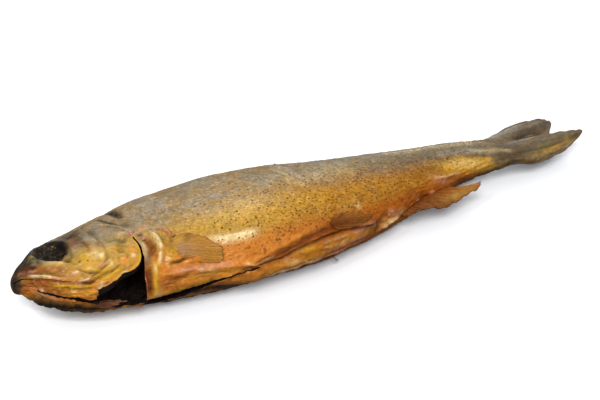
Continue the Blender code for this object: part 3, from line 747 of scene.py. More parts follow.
# The cover's wrinkles fan out from one corner to its free edge, uneven in length and depth.
coverFan = {
    "hub": (49.0, 103),
    "to": (  # end of the ridge, where it starts as a share of its length, height
        ((62.9, 112), 0.55, 0.30),
        ((62.9, 119), 0.35, 0.42),
        ((62.0, 125), 0.50, 0.30),
        ((60.2, 131), 0.22, 0.50),
        ((57.2, 137), 0.45, 0.28),
        ((53.5, 141), 0.20, 0.45),
        ((48.6, 143), 0.35, 0.36),
    ),
}
for i, ((endAlong, endAngle), first, relief) in enumerate(coverFan["to"]):
    hubAlong, hubAngle = coverFan["hub"]
    bow = 1.6 * (-1) ** i
    fanPlaces = [
        (hubAlong + (endAlong - hubAlong) * t, hubAngle + (endAngle - hubAngle) * t + bow * sin(pi * t))
        for t in np.linspace(first, 1, 4)
    ]
    hollowPlaces = [(a + 0.5, b + 3) for a, b in fanPlaces]
    gillCoverMarks[f"fan ridge {i + 1}"] = stroke(fanPlaces, 0.55, "gold", 0.6 * relief, 0.45 * relief)
    gillCoverMarks[f"fan hollow {i + 1}"] = stroke(hollowPlaces, 0.6, "umber", 0.3, -0.5 * relief)

markGroups = (headMarks, gillCoverMarks, napeMarks, collarMarks, bellyMarks, flankMarks, tailMarks)
allMarks = [mark for group in markGroups for mark in group.values()]


def nearPath(path, u, v):
    # signed distance to a path, positive on its left, and the share of the path's length passed there
    start, run = path[:-1], np.diff(path, axis=0)
    length = np.linalg.norm(run, axis=1)
    fromStart = np.stack((u, v), -1)[:, None, :] - start
    t = np.clip((fromStart * run).sum(-1) / length ** 2, 0, 1)
    gap = ((fromStart - t[..., None] * run) ** 2).sum(-1)
    best = gap.argmin(1)
    rows = np.arange(len(u))
    side = run[best, 0] * fromStart[rows, best, 1] - run[best, 1] * fromStart[rows, best, 0]
    passed = np.concatenate(((0,), np.cumsum(length)))
    share = (passed[best] + t[rows, best] * length[best]) / passed[-1]
    return np.sqrt(gap[rows, best]) * np.where(side < 0, -1, 1), share


def markAmount(mark, u, v):
    # how strongly a mark acts at each place: indices of the places and a share from 0 to 1
    if "places" in mark:
        stepsBetweenPlaces = 6
        along, angle = smoothPlaces(mark["places"], stepsBetweenPlaces * (len(mark["places"]) - 1))
        path = np.stack((along, arcFromTop(along, np.radians(angle))), -1)
        reach = 3 * mark["width"]
        low, high = path.min(0) - reach, path.max(0) + reach
        near = np.nonzero((u > low[0]) & (u < high[0]) & (v > low[1]) & (v < high[1]))[0]
        if len(near) == 0:
            return near, np.zeros(0)
        distance, share = nearPath(path, u[near], v[near])
        taper = rise(np.minimum(share, 1 - share), 0, 0.16)
        return near, soft(distance, 0, mark["width"]) * (0.25 + 0.75 * taper)
    along, angle = mark["place"]
    centre = np.array((along, float(arcFromTop(np.array(along), np.array(radians(angle))))))
    reach = 2.2 * max(mark["reach"])
    near = np.nonzero((np.abs(u - centre[0]) < reach) & (np.abs(v - centre[1]) < reach))[0]
    du, dv = u[near] - centre[0], v[near] - centre[1]
    c, s = cos(radians(mark["turn"])), sin(radians(mark["turn"]))
    far = np.hypot((du * c + dv * s) / mark["reach"][0], (dv * c - du * s) / mark["reach"][1])
    if mark["steep"]:
        return near, ease(rise(far, 1.08, mark["steep"]))
    return near, np.exp(-far ** 2 * 1.4)


def markHeights(u, v):
    height = np.zeros_like(u)
    for mark in allMarks:
        if mark["height"]:
            near, amount = markAmount(mark, u, v)
            height[near] += mark["height"] * amount
    return height


def markTints(u, v):
    tints = {name: np.zeros_like(u) for name in skinLook["tints"]}
    for mark in allMarks:
        if mark["tint"]:
            near, amount = markAmount(mark, u, v)
            layer = tints[mark["tint"]]
            layer[near] = np.maximum(layer[near], mark["strength"] * amount)
    return tints


print("marks on the skin:", len(allMarks))


# Materials. The helpers below add nodes, and wire or set their inputs by name or number.
def feed(tree, sockets, inputs):
    for key, value in inputs.items():
        socket = sockets[key]
        if isinstance(value, bpy.types.NodeSocket):
            tree.links.new(value, socket)
        elif socket.type == "RGBA":
            socket.default_value = (*value, 1)
        else:
            socket.default_value = value


def addNode(tree, kind, inputs=None, **settings):
    node = tree.nodes.new("ShaderNode" + kind)
    for key, value in settings.items():
        setattr(node, key, value)
    feed(tree, node.inputs, inputs or {})
    return node


def calc(tree, operation, a, b=0.0, clamp=False):
    return addNode(tree, "Math", {0: a, 1: b}, operation=operation, use_clamp=clamp).outputs[0]


def times(tree, a, b, clamp=False):
    return calc(tree, "MULTIPLY", a, b, clamp)


def ramp(tree, value, low, high, toLow=0.0, toHigh=1.0):
    inputs = {"Value": value, "From Min": low, "From Max": high, "To Min": toLow, "To Max": toHigh}
    return addNode(tree, "MapRange", inputs, interpolation_type="SMOOTHSTEP").outputs["Result"]


def mixColour(tree, factor, a, b, blend="MIX"):
    node = addNode(tree, "Mix", {0: factor, 6: a, 7: b}, data_type="RGBA", blend_type=blend)
    return node.outputs[2]


def place(tree):
    # object coordinates in millimetres
    metres = addNode(tree, "TexCoord").outputs["Object"]
    return addNode(tree, "VectorMath", {0: metres, "Scale": 1 / mm}, operation="SCALE").outputs[0]


def blur(tree, vector, size, detail=3.0, rough=0.55, warp=0.0):
    # noise with lumps of the given size in millimetres, which may come from a socket
    scale = 1 / size if isinstance(size, (int, float)) else calc(tree, "DIVIDE", 1.0, size)
    inputs = {"Vector": vector, "Scale": scale, "Detail": detail, "Roughness": rough, "Distortion": warp}
    return addNode(tree, "TexNoise", inputs).outputs["Fac"]


def attribute(tree, name):
    return addNode(tree, "Attribute", attribute_name=name).outputs["Fac"]


def newGroup(name, inputs, outputs):
    # a group with a vector and numbers going in, and numbers coming out
    tree = bpy.data.node_groups.new(name, "ShaderNodeTree")
    tree.interface.new_socket(name="Vector", in_out="INPUT", socket_type="NodeSocketVector")
    for title, value in inputs.items():
        socket = tree.interface.new_socket(name=title, in_out="INPUT", socket_type="NodeSocketFloat")
        socket.default_value = value
    for title in outputs:
        tree.interface.new_socket(name=title, in_out="OUTPUT", socket_type="NodeSocketFloat")
    return tree, tree.nodes.new("NodeGroupInput").outputs, tree.nodes.new("NodeGroupOutput").inputs


def useGroup(tree, group, inputs):
    node = addNode(tree, "Group", node_tree=group)
    feed(tree, node.inputs, inputs)
    return node.outputs


def shaken(tree, vector, scale, amount):
    # the vector, shifted by a noise
    shift = addNode(tree, "TexNoise", {"Vector": vector, "Scale": scale, "Detail": 2.0}).outputs["Color"]
    shift = addNode(tree, "VectorMath", {0: shift, "Scale": amount}, operation="SCALE").outputs[0]
    return addNode(tree, "VectorMath", {0: vector, 1: shift}, operation="ADD").outputs[0]


def cells(tree, vector, size, randomness):
    inputs = {"Vector": vector, "Scale": calc(tree, "DIVIDE", 1.0, size), "Randomness": randomness}
    return addNode(tree, "TexVoronoi", inputs, feature="F1").outputs


def makeScaleGrain():
    # the fine net of scales: a height, and a mask that is 1 on the dark lines between them
    tree, given, out = newGroup("scaleGrain", {"Size": 1.2, "Irregular": 1.0}, ("Height", "Lines"))
    moved = shaken(tree, given["Vector"], 0.35, given["Irregular"])
    distance = cells(tree, moved, given["Size"], 0.75)["Distance"]
    height = calc(tree, "SUBTRACT", 1.0, distance)
    feed(tree, out, {"Height": height, "Lines": ramp(tree, distance, 0.42, 0.72)})
    return tree


def makeFreckles():
    # small dark spots, each in its own cell, with some cells left empty
    tree, given, out = newGroup("freckles", {"Spacing": 5.0, "Size": 0.2, "Share": 0.6}, ("Mask",))
    spots = cells(tree, shaken(tree, given["Vector"], 0.9, 1.0), given["Spacing"], 1.0)
    chance = addNode(tree, "SeparateColor", {"Color": spots["Color"]}).outputs
    kept = calc(tree, "LESS_THAN", chance[0], given["Share"])
    size = times(tree, given["Size"], calc(tree, "ADD", 0.6, chance[1]))
    spot = ramp(tree, calc(tree, "SUBTRACT", size, spots["Distance"]), -0.04, 0.06)
    feed(tree, out, {"Mask": times(tree, spot, kept)})
    return tree


def makeMottle():
    # a mask broken up by noise, so that a soft zone gets a natural edge
    tree, given, out = newGroup("mottle", {"Mask": 0.0, "Size": 6.0, "Break": 0.6}, ("Mask",))
    spread = blur(tree, given["Vector"], given["Size"], 5.0, 0.65)
    shift = times(tree, calc(tree, "SUBTRACT", spread, 0.5), given["Break"])
    present = ramp(tree, given["Mask"], 0.02, 0.25)
    feed(tree, out, {"Mask": calc(tree, "ADD", given["Mask"], times(tree, shift, present), clamp=True)})
    return tree


def makeOil():
    # where the skin is greasy, and how rough that leaves it
    tree, given, out = newGroup("oilFilm", {"Dry": 0.55, "Wet": 0.25, "Size": 9.0}, ("Roughness", "Film"))
    film = ramp(tree, blur(tree, given["Vector"], given["Size"], 4.0, 0.6), 0.38, 0.62)
    fine = addNode(tree, "TexNoise", {"Vector": given["Vector"], "Scale": 1.1, "Detail": 2.0}).outputs["Fac"]
    change = calc(tree, "SUBTRACT", given["Wet"], given["Dry"])
    base = calc(tree, "ADD", given["Dry"], times(tree, change, film))
    grain = times(tree, calc(tree, "SUBTRACT", fine, 0.5), 0.25)
    feed(tree, out, {"Roughness": calc(tree, "ADD", base, grain, clamp=True), "Film": film})
    return tree


scaleGrain = makeScaleGrain()
freckles = makeFreckles()
mottle = makeMottle()
oilFilm = makeOil()


def newMaterial(name):
    material = bpy.data.materials.new(name)
    material.use_nodes = True
    tree = material.node_tree
    return material, tree, tree.nodes["Principled BSDF"].inputs


def broken(tree, where, name, size, amount):
    # one of the piece's own masks, broken up by the mottle
    given = {"Vector": where, "Mask": attribute(tree, name), "Size": size, "Break": amount}
    return useGroup(tree, mottle, given)["Mask"]


def bumpFrom(tree, height, strength, distance=1.0):
    inputs = {"Height": height, "Strength": strength, "Distance": distance * mm}
    return addNode(tree, "Bump", inputs).outputs["Normal"]


skinLook = {
    "backGrey": (0.26, 0.205, 0.130),
    "backOlive": (0.29, 0.175, 0.06),
    "tailGrey": (0.15, 0.115, 0.075),
    "tailBrown": (0.17, 0.108, 0.052),
    "flankYellow": (0.51, 0.29, 0.040),
    "flankOchre": (0.36, 0.17, 0.022),
    "flankAmber": (0.40, 0.155, 0.006),
    "bellyOrange": (0.56, 0.19, 0.022),
    "bellyAmber": (0.36, 0.095, 0.004),
    "bellyRust": (0.20, 0.042, 0.006),
    "freckle": (0.085, 0.030, 0.004),
    "scaleLine": (0.13, 0.065, 0.014),
    "fleck": (0.74, 0.48, 0.07),
    "tints": {  # laid over each other in this order
        # slate: a grey, which on some edges of the cover and the tail paints a grey sheen
        "slate": (0.27, 0.245, 0.20),
        "umber": (0.040, 0.024, 0.012),
        "olive": (0.155, 0.125, 0.030),
        "rust": (0.165, 0.034, 0.005),
        "gold": (0.58, 0.31, 0.018),
        "orange": (0.62, 0.215, 0.030),
        "pink": (0.56, 0.24, 0.13),
        # pale: a cream colour, which paints highlights on many ridges and folds besides pale skin
        "pale": (0.78, 0.58, 0.28),
        # dark: near black, which paints shade in openings, grooves and under the body besides the darkest
        # smoked skin
        "dark": (0.008, 0.005, 0.004),
    },
    "tintBreak": (2.4, 0.55),  # size of the noise that breaks up a tint's edge, and how much it does
    "tintBreaks": {"slate": (6.0, 0.35)},
    "scaleSize": 1.25,
    "freckleSpacing": 1.75,
    "freckleSize": 0.27,
    "freckleStrength": 0.8,
    "lineStrength": 0.22,
    "fleckStrength": 0.5,
    "dryRoughness": 0.6,
    "wetRoughness": 0.34,
    "relief": 0.85,
    "specular": 0.13,
    "coat": 0.5,
    "coatRoughness": 0.18,
}


def makeSkin():
    material, tree, shader = newMaterial("smokedSkin")
    where = place(tree)
    look = skinLook
    # three sizes of blotches, from which the greys, yellows and ambers of the skin are mixed
    wide = blur(tree, where, 14, 4.0, 0.6, 0.6)
    middling = blur(tree, where, 5, 4.0, 0.6, 0.8)
    fine = blur(tree, where, 1.7, 4.0, 0.7)
    amber, tailward = broken(tree, where, "amber", 9.0, 0.8), broken(tree, where, "tailward", 7.0, 0.7)
    back = mixColour(tree, ramp(tree, wide, 0.35, 0.65), look["backGrey"], look["backOlive"])
    rear = mixColour(tree, ramp(tree, middling, 0.35, 0.65), look["tailGrey"], look["tailBrown"])
    back = mixColour(tree, tailward, back, rear)
    side = mixColour(tree, amber, look["flankYellow"], look["flankAmber"])
    side = mixColour(tree, ramp(tree, middling, 0.45, 0.68), side, look["flankOchre"])
    under = mixColour(tree, amber, look["bellyOrange"], look["bellyAmber"])
    under = mixColour(tree, ramp(tree, middling, 0.52, 0.72), under, look["bellyRust"])
    base = mixColour(tree, broken(tree, where, "flank", 4.0, 1.0), back, side)
    base = mixColour(tree, broken(tree, where, "belly", 7.0, 0.7), base, under)
    for name, tone in look["tints"].items():
        size, amount = look["tintBreaks"].get(name, look["tintBreak"])
        base = mixColour(tree, broken(tree, where, name, size, amount), base, tone)
    # the net of scales, bright flecks, light and shade, and freckles lie over the tints
    grain = useGroup(tree, scaleGrain, {"Vector": where, "Size": look["scaleSize"], "Irregular": 0.9})
    scaled = attribute(tree, "scaled")
    lines = times(tree, times(tree, grain["Lines"], scaled), look["lineStrength"])
    base = mixColour(tree, lines, base, look["scaleLine"])
    lit = times(tree, attribute(tree, "flecked"), look["fleckStrength"])
    lit = times(tree, ramp(tree, fine, 0.56, 0.72), lit)
    base = mixColour(tree, lit, base, look["fleck"])
    shade = ramp(tree, fine, 0.32, 0.68, 0.74, 1.24)
    base = mixColour(tree, calc(tree, "ADD", 0.35, times(tree, scaled, 0.6)), base, shade, "MULTIPLY")
    base = mixColour(tree, 1.0, base, ramp(tree, middling, 0.34, 0.66, 0.80, 1.16), "MULTIPLY")
    spots = useGroup(tree, freckles, {
        "Vector": where, "Spacing": look["freckleSpacing"], "Size": look["freckleSize"],
        "Share": attribute(tree, "freckled"),
    })["Mask"]
    base = mixColour(tree, times(tree, spots, look["freckleStrength"]), base, look["freckle"])
    dryness = {"Dry": look["dryRoughness"], "Wet": look["wetRoughness"]}
    oil = useGroup(tree, oilFilm, {"Vector": where, "Size": 6.0, **dryness})
    wrinkle = blur(tree, where, 1.6, 3.0, 0.6, 0.8)
    height = times(tree, times(tree, grain["Height"], scaled), 0.10)
    height = calc(tree, "ADD", height, times(tree, wrinkle, 0.30))
    # the smoked skin tinted umber or dark is dry, so it has no greasy coat; the painted shade in these tints
    # gets none either
    dry = calc(tree, "ADD", attribute(tree, "umber"), attribute(tree, "dark"), clamp=True)
    wet = times(tree, oil["Film"], calc(tree, "SUBTRACT", attribute(tree, "oily"), dry, clamp=True))
    feed(tree, shader, {
        "Base Color": base,
        "Roughness": oil["Roughness"],
        "Specular IOR Level": look["specular"],
        "Coat Weight": times(tree, wet, look["coat"], clamp=True),
        "Coat Roughness": look["coatRoughness"],
        "Normal": bumpFrom(tree, height, look["relief"]),
    })
    return material


fleshLook = {
    "deep": (0.003, 0.0015, 0.001),
    "lit": (0.016, 0.006, 0.003),
    "roughness": 0.6,
    "specular": 0.15,
}


def makeFlesh():
    # the dried inside of the gill opening, the mouth and the slits, near black: its own dark colour together
    # with painted shade
    material, tree, shader = newMaterial("driedFlesh")
    folds = blur(tree, place(tree), 3.5, 4.0, 0.6, 1.2)
    feed(tree, shader, {
        "Base Color": mixColour(tree, ramp(tree, folds, 0.4, 0.75), fleshLook["deep"], fleshLook["lit"]),
        "Roughness": fleshLook["roughness"],
        "Specular IOR Level": fleshLook["specular"],
        "Normal": bumpFrom(tree, folds, 0.8, 1.5),
    })
    return material


finLook = {
    "web": (0.34, 0.155, 0.016),
    "ray": (0.52, 0.26, 0.050),
    "rim": (0.060, 0.025, 0.008),
    "blush": (0.40, 0.17, 0.03),
    "rust": (0.25, 0.062, 0.006),
    "grey": (0.42, 0.27, 0.17),
    "glow": (0.50, 0.285, 0.045),
    # deep: painted shade in the fins' folds, on their low parts and near their roots
    "deep": (0.050, 0.014, 0.005),
    "rays": 22,
    "specular": 0.13,
    "coat": 0.16,
    "coatRoughness": 0.25,
}


def makeFinSkin():
    # a dried fin: pale rays with darker web between them, darker at the rim
    material, tree, shader = newMaterial("driedFin")
    where, look = place(tree), finLook
    drift = times(tree, blur(tree, where, 6.0, 2.0), 0.12)
    angle = times(tree, calc(tree, "ADD", attribute(tree, "across"), drift), look["rays"] * tau)
    blotch = blur(tree, where, 2.6, 4.0, 0.65)
    rays = ramp(tree, calc(tree, "SINE", angle), -0.2, 0.9)
    rays = times(tree, rays, ramp(tree, blotch, 0.3, 0.7, 0.35, 1.0))
    edge = calc(tree, "MAXIMUM", ramp(tree, attribute(tree, "along"), 0.93, 1.03), attribute(tree, "edge"))
    base = mixColour(tree, rays, look["web"], look["ray"])
    for name, mask in (
        ("blush", times(tree, ramp(tree, blotch, 0.48, 0.7), 0.5)),
        ("grey", times(tree, attribute(tree, "grey"), 0.6)),
        ("rust", broken(tree, where, "rust", 2.5, 0.7)),
        ("glow", attribute(tree, "glow")),
        ("deep", broken(tree, where, "deep", 2.2, 0.8)),
        ("rim", times(tree, edge, 0.8)),
    ):
        base = mixColour(tree, mask, base, look[name])
    oil = useGroup(tree, oilFilm, {"Vector": where, "Dry": 0.6, "Wet": 0.38, "Size": 5.0})
    feed(tree, shader, {
        "Base Color": base,
        "Roughness": oil["Roughness"],
        "Specular IOR Level": look["specular"],
        "Coat Weight": times(tree, oil["Film"], look["coat"]),
        "Coat Roughness": look["coatRoughness"],
        "Normal": bumpFrom(tree, calc(tree, "ADD", times(tree, rays, 0.5), blotch), 0.7, 0.5),
    })
    return material


eyeLook = {
    "pupil": (0.007, 0.004, 0.002),
    "skin": (0.055, 0.033, 0.012),
    "fleck": (0.22, 0.15, 0.08),
    "glaze": 0.05,
    "glazeRoughness": 0.2,
    "specular": 0.06,
}


def makeEyeSkin():
    # a dried, sunken eye: nearly black, wrinkled, with a dull gloss
    material, tree, shader = newMaterial("driedEye")
    where = place(tree)
    folds = blur(tree, where, 1.8, 4.0, 0.6, 1.0)
    flecks = ramp(tree, blur(tree, where, 2.8, 3.0, 0.6), 0.60, 0.72)
    base = mixColour(tree, ramp(tree, folds, 0.45, 0.75), eyeLook["pupil"], eyeLook["skin"])
    feed(tree, shader, {
        "Base Color": mixColour(tree, times(tree, flecks, 0.45), base, eyeLook["fleck"]),
        "Roughness": ramp(tree, folds, 0.3, 0.7, 0.35, 0.6),
        "Specular IOR Level": eyeLook["specular"],
        "Coat Weight": eyeLook["glaze"],
        "Coat Roughness": eyeLook["glazeRoughness"],
        "Normal": bumpFrom(tree, folds, 0.8),
    })
    return material


tornLook = {
    "meat": (0.40, 0.15, 0.075),
    "dry": (0.13, 0.035, 0.015),
    "fat": (0.75, 0.50, 0.34),
    "coat": 0.5,
    "coatRoughness": 0.15,
}


def makeTornFlesh():
    # small torn bits of flesh and gristle: pink, shiny, with pale fat
    material, tree, shader = newMaterial("tornFlesh")
    folds = blur(tree, place(tree), 1.6, 4.0, 0.6, 0.8)
    base = mixColour(tree, ramp(tree, folds, 0.3, 0.55), tornLook["dry"], tornLook["meat"])
    feed(tree, shader, {
        "Base Color": mixColour(tree, ramp(tree, folds, 0.6, 0.75), base, tornLook["fat"]),
        "Roughness": ramp(tree, folds, 0.3, 0.8, 0.22, 0.5),
        "Coat Weight": tornLook["coat"],
        "Coat Roughness": tornLook["coatRoughness"],
        "Normal": bumpFrom(tree, folds, 0.7, 0.8),
    })
    return material


smokedSkin = makeSkin()
driedFlesh = makeFlesh()
driedFin = makeFinSkin()
driedEye = makeEyeSkin()
tornFlesh = makeTornFlesh()
print("materials ready")


# The body, from snout to tail, as one skin with its openings cut.
openings = {
    "coverEdge": (
        (63.7, 108), (64.0, 120), (62.9, 131), (60.8, 140),
        (56.6, 146), (50.0, 150), (44.0, 161), (36.0, 172),
    ),
    "collarRim": ((64.4, 106), (65.1, 120), (64.2, 131), (62.8, 142), (60.6, 159), (60.1, 179)),
    "coverPlate": 1.9,  # thickness of the cover's edge
    "chamberMiddle": (47, -8, 0),
    "chamberSection": ((5, 4, 2.8), (9, 9, 1.6)),  # reach under the cover, depth, least height off the floor
    "gillFloor": 12.5,
    "gillFoot": ((10, -9), (3.5, -3.5)),  # steps from the cover's lower end to the outside
    "outsideY": -52,
    "outsideZ": 70,
    "mouthLine": (
        (2.4, 124), (4.5, 124), (7.2, 129), (9.8, 135), (14, 140), (18, 144.5), (22, 148), (26.5, 150.5),
    ),
    "mouthGape": 0.5,
    "mouthDepth": 3.5,
    "mouthRoot": 0.08,  # half the wedge's width at its deepest
    "mouthOutside": 1.5,
    "jawSlit": (  # along, height of its middle, half its width, depth
        (11, 22.3, 0.25, 1.2), (14.5, 22.4, 0.7, 2.2), (17.5, 22.2, 0.9, 2.4), (22, 21.2, 1.1, 2.6),
        (27, 20.6, 1.7, 3.4), (33, 19.2, 1.8, 4.5), (36, 19.2, 2.8, 5.0), (42, 18.0, 3.6, 6.0),
    ),
    "bellySlit": (  # the same
        (60, 10.2, 5.0, 14.0),
        (78, 12.6, 4.0, 14.0),
        (92, 17.0, 1.5, 11.0),
        (104, 19.1, 0.6, 8.0),
        (112, 20.0, 0.4, 5.0),
        (120, 20.8, 0.15, 2.0),
    ),
    "bladeOutside": 9,
    "bladeRoot": 0.3,
    "bladeFlare": 1.6,  # how much wider the blade is outside the skin than at it
    "ragged": 0.28,  # how far the cut edges wander
}


def bladeCutter(name, rows, steps, seed):
    # a blade that goes in from the belly's edge, ragged above and below
    root, flare, ragged = openings["bladeRoot"], openings["bladeFlare"], openings["ragged"] * 1.6
    rings = []
    for x in np.linspace(rows[0][0], rows[-1][0], steps + 1):
        height, half, depth = [float(curveThrough([(row[0], row[k]) for row in rows], x)) for k in (1, 2, 3)]
        top, low = ragged * noiseAt(x / 5, seed), ragged * noiseAt(x / 4, seed, 5)
        inside = float(sizeAlong(2, x)) + depth
        outside = inside - depth - openings["bladeOutside"]
        rings.append([
            (x, outside, height + half * flare + top),
            (x, inside, height + root + top / 2),
            (x, inside, height - root + low / 2),
            (x, outside, height - half * flare + low),
        ])
    return loft(name, rings, driedFlesh)


def skinPlaces(places, steps):
    along, angle = smoothPlaces(places, steps)
    return surfacePoints(along, np.radians(angle))


def mouthCutter(steps=40):
    # a thin wedge that follows the lips
    along, angle = smoothPlaces(openings["mouthLine"], steps)
    turn = np.radians(angle)
    at, out = surfacePoints(along, turn), surfaceNormals(along, turn)
    over = np.cross(np.gradient(at, axis=0), out)
    over /= np.linalg.norm(over, axis=-1)[:, None]
    rings = []
    for i, (p, n, side) in enumerate(zip(at, out, over)):
        half = openings["mouthGape"] * (1 - 0.75 * i / steps)
        q = p + side * noiseAt(i / 4, 7.1) * openings["ragged"] * 0.7
        high = q + n * openings["mouthOutside"]
        deep = q - n * openings["mouthDepth"] * (1 - 0.5 * i / steps)
        root = side * openings["mouthRoot"]
        rings.append([high + side * half, deep + root, deep - root, high - side * half])
    return loft("cutMouth", rings, driedFlesh)


def gillOpeningCutter():
    # everything above the gill floor between the cover's edge and the collar's
    rim, edge = skinPlaces(openings["collarRim"], 44), skinPlaces(openings["coverEdge"], 60)
    for i, p in enumerate(edge):
        p[:2] += noiseAt(i / 4, 2.2) * openings["ragged"]
    for i, p in enumerate(rim):
        p[0] += noiseAt(i / 4, 9.2) * openings["ragged"]
    outline = [(p[0], p[1]) for p in rim]
    outline += [(rim[-1][0] + 1, openings["outsideY"]), (edge[-1][0] + 17, openings["outsideY"])]
    outline += [(edge[-1][0] + x, edge[-1][1] + y) for x, y in openings["gillFoot"]]
    outline += [(p[0], p[1]) for p in edge[::-1]]
    levels = (openings["gillFloor"], openings["outsideZ"])
    return loft("cutGillOpening", [[(x, y, z) for x, y in outline] for z in levels], driedFlesh)


def gillChamberCutter(steps=37):
    # a hollow under the cover, shallow at both ends, which leaves the cover as a plate
    floor = openings["gillFloor"]
    middle = np.array(openings["chamberMiddle"], float)
    rings = []
    for i, p in enumerate(skinPlaces(openings["coverEdge"], steps)):
        inward = (middle - p) * (1, 1, 0)
        inward /= np.linalg.norm(inward)
        share = min(1, 0.25 + 2.75 * i / steps) * min(1, 0.5 + 2.75 * (steps - i) / steps)
        ring = [p - inward + (0, 0, -openings["coverPlate"])]
        for reach, depth, least in openings["chamberSection"]:
            q = p + inward * reach * share
            ring.append((q[0], q[1], max(p[2] - depth, floor + least)))
        ring += [(q[0], q[1], floor + 0.6) for q in (ring[-1], ring[0])]
        rings.append(ring)
    return loft("cutGillChamber", rings, driedFlesh)


def bodyGrid():
    topCount = bodyShape["topSegments"]
    lowCount = topCount // 2
    angles = np.concatenate((
        np.linspace(0, pi, topCount + 1),
        np.linspace(pi, tau, lowCount + 1)[1:-1],
    ))
    start, headEnd = bodyShape["sections"][0][0], bodyShape["headEnd"]
    alongs = np.concatenate((
        start + (headEnd - start) * np.linspace(0, 1, bodyShape["headRings"]) ** 1.12,
        np.linspace(headEnd, rootAlong, bodyShape["bodyRings"])[1:],
        np.linspace(rootAlong, rootAlong + bodyShape["tailRun"], bodyShape["tailRings"])[1:],
    ))
    return alongs, angles


def foldAmount(along, angle):
    # how shrivelled the skin is: most on the jaws, behind the collar and by the tail
    side = rise(np.where(angle > 180, 360 - angle, angle), 100, 130)
    jaws = rise(along, 68, 58) * (0.35 + 0.65 * side)
    belly = rise(along, 62, 72) * rise(along, 262, 242) * side ** 2 * 0.9
    tail = rise(along, 235, 265) * np.maximum(rise(along, 325, 295), 0.15) * 0.8
    return np.maximum(np.maximum(jaws, belly), np.maximum(tail, 0.22))


def roundFromTop(base, turn):
    # distance round each ring from its top point, positive towards the belly
    steps = np.linalg.norm(np.diff(np.concatenate((base, base[:, :1]), 1), axis=1), axis=-1)
    passed = np.concatenate((np.zeros((len(base), 1)), np.cumsum(steps, 1)), 1)
    top = bodyShape["topSegments"] // 2
    arc = passed[:, :-1] - passed[:, top:top + 1]
    return np.where(turn > 1.5 * pi, arc - passed[:, -1:], arc)


def skinRelief(base, along, arc, turn):
    # the height of the marks, lumps and wrinkles
    flat = base.reshape(-1, 3)
    height = markHeights(along.reshape(-1), arc.reshape(-1))
    for i, (size, amount) in enumerate(bodyShape["lumps"]):
        height += uneven(flat, size, 3.7 * i) * amount
    shrivel = foldAmount(along, np.degrees(turn)).reshape(-1)
    for i, (length, breadth, amount) in enumerate(bodyShape["folds"]):
        height += wrinkled(flat, length, breadth, 5.1 * i) * amount * shrivel
    return height.reshape(along.shape)


def tailRelief(height, turn, t):
    # the tail's rays fan out from its root, and its underside follows its top so that it stays thin
    rays = np.cos(bodyShape["tailRays"] * tau * np.arccos(np.cos(turn)) / pi)
    height = height + bodyShape["tailRayHeight"] * np.minimum(1, 2.2 * t) * rays
    topCount = bodyShape["topSegments"]
    columns = np.arange(height.shape[1])
    above = np.where(columns > topCount, topCount - 2 * (columns - topCount), columns)
    followed = np.where(columns > topCount, -height[:, above], height)
    share = rise(t, 0, 0.2)
    height = height * (1 - share) + followed * share
    return height * (1 - share * (1 - rise(np.abs(np.sin(turn)), 0, 0.3)))  # none on its thin edge


def endCaps(rings, count):
    # the first and last ring closed by strips, which join two upper steps to each lower one
    topCount = bodyShape["topSegments"]
    faces = []
    for start in (0, (rings - 1) * count):
        for k in range(topCount // 2):
            low = [(topCount + k) % count, (topCount + k + 1) % count]
            high = [topCount - 2 * (k + 1), topCount - 2 * k - 1, topCount - 2 * k]
            faces.append(tuple(dict.fromkeys(start + i for i in low + high)))
    return faces


def makeBody():
    alongs, angles = bodyGrid()
    along, turn = np.meshgrid(alongs, angles, indexing="ij")
    base = surfacePoints(along, turn)
    arc = roundFromTop(base, turn)
    t = tailShare(along)
    height = tailRelief(skinRelief(base, along, arc, turn), turn, t)
    height *= np.clip((along - 1.5) / 6, 0.05, 1)  # the snout's end stays smooth
    flat = np.stack((0 * t, 0 * t, np.where(np.sin(turn) < 0, -1.0, 1.0)), -1)
    normals = np.where((t > 0.35)[..., None], flat, surfaceNormals(along, turn))
    points = (base + normals * height[..., None]).reshape(-1, 3)
    ragged = np.array([noiseAt(11 * cos(a), 3.3) for a in angles])
    points[:, 0] += (bodyShape["tailRagged"] * np.maximum(t - 0.5, 0) * ragged).reshape(-1)
    # it settles on the floor softly, so that no two faces lie in one plane
    settle, z = 0.3, points[:, 2]
    points[:, 2] = np.where(z < settle, settle * np.exp((z - settle) / settle), z)
    faces = ringFaces(*along.shape) + endCaps(*along.shape)
    where = {"skinAlong": along, "skinArc": arc, "skinTurn": turn, "skinKnown": np.ones_like(arc)}
    return newPiece("smokedFishBody", points, faces, (smokedSkin, driedFlesh), where)


def cutBody(body, cutters):
    for cutter in cutters:
        step = body.modifiers.new(cutter.name, "BOOLEAN")
        step.operation = "DIFFERENCE"
        step.solver = "MANIFOLD"
        step.material_mode = "TRANSFER"
        step.object = cutter
    depsgraph = bpy.context.evaluated_depsgraph_get()
    cut = bpy.data.meshes.new_from_object(body.evaluated_get(depsgraph))
    body.modifiers.clear()
    body.data = cut
    for cutter in cutters:
        bpy.data.objects.remove(cutter)
    cut.shade_smooth()
    cut.set_sharp_from_angle(angle=radians(60))


def readValues(mesh, name):
    values = np.zeros(len(mesh.vertices), np.float32)
    mesh.attributes[name].data.foreach_get("value", values)
    return values.astype(float)


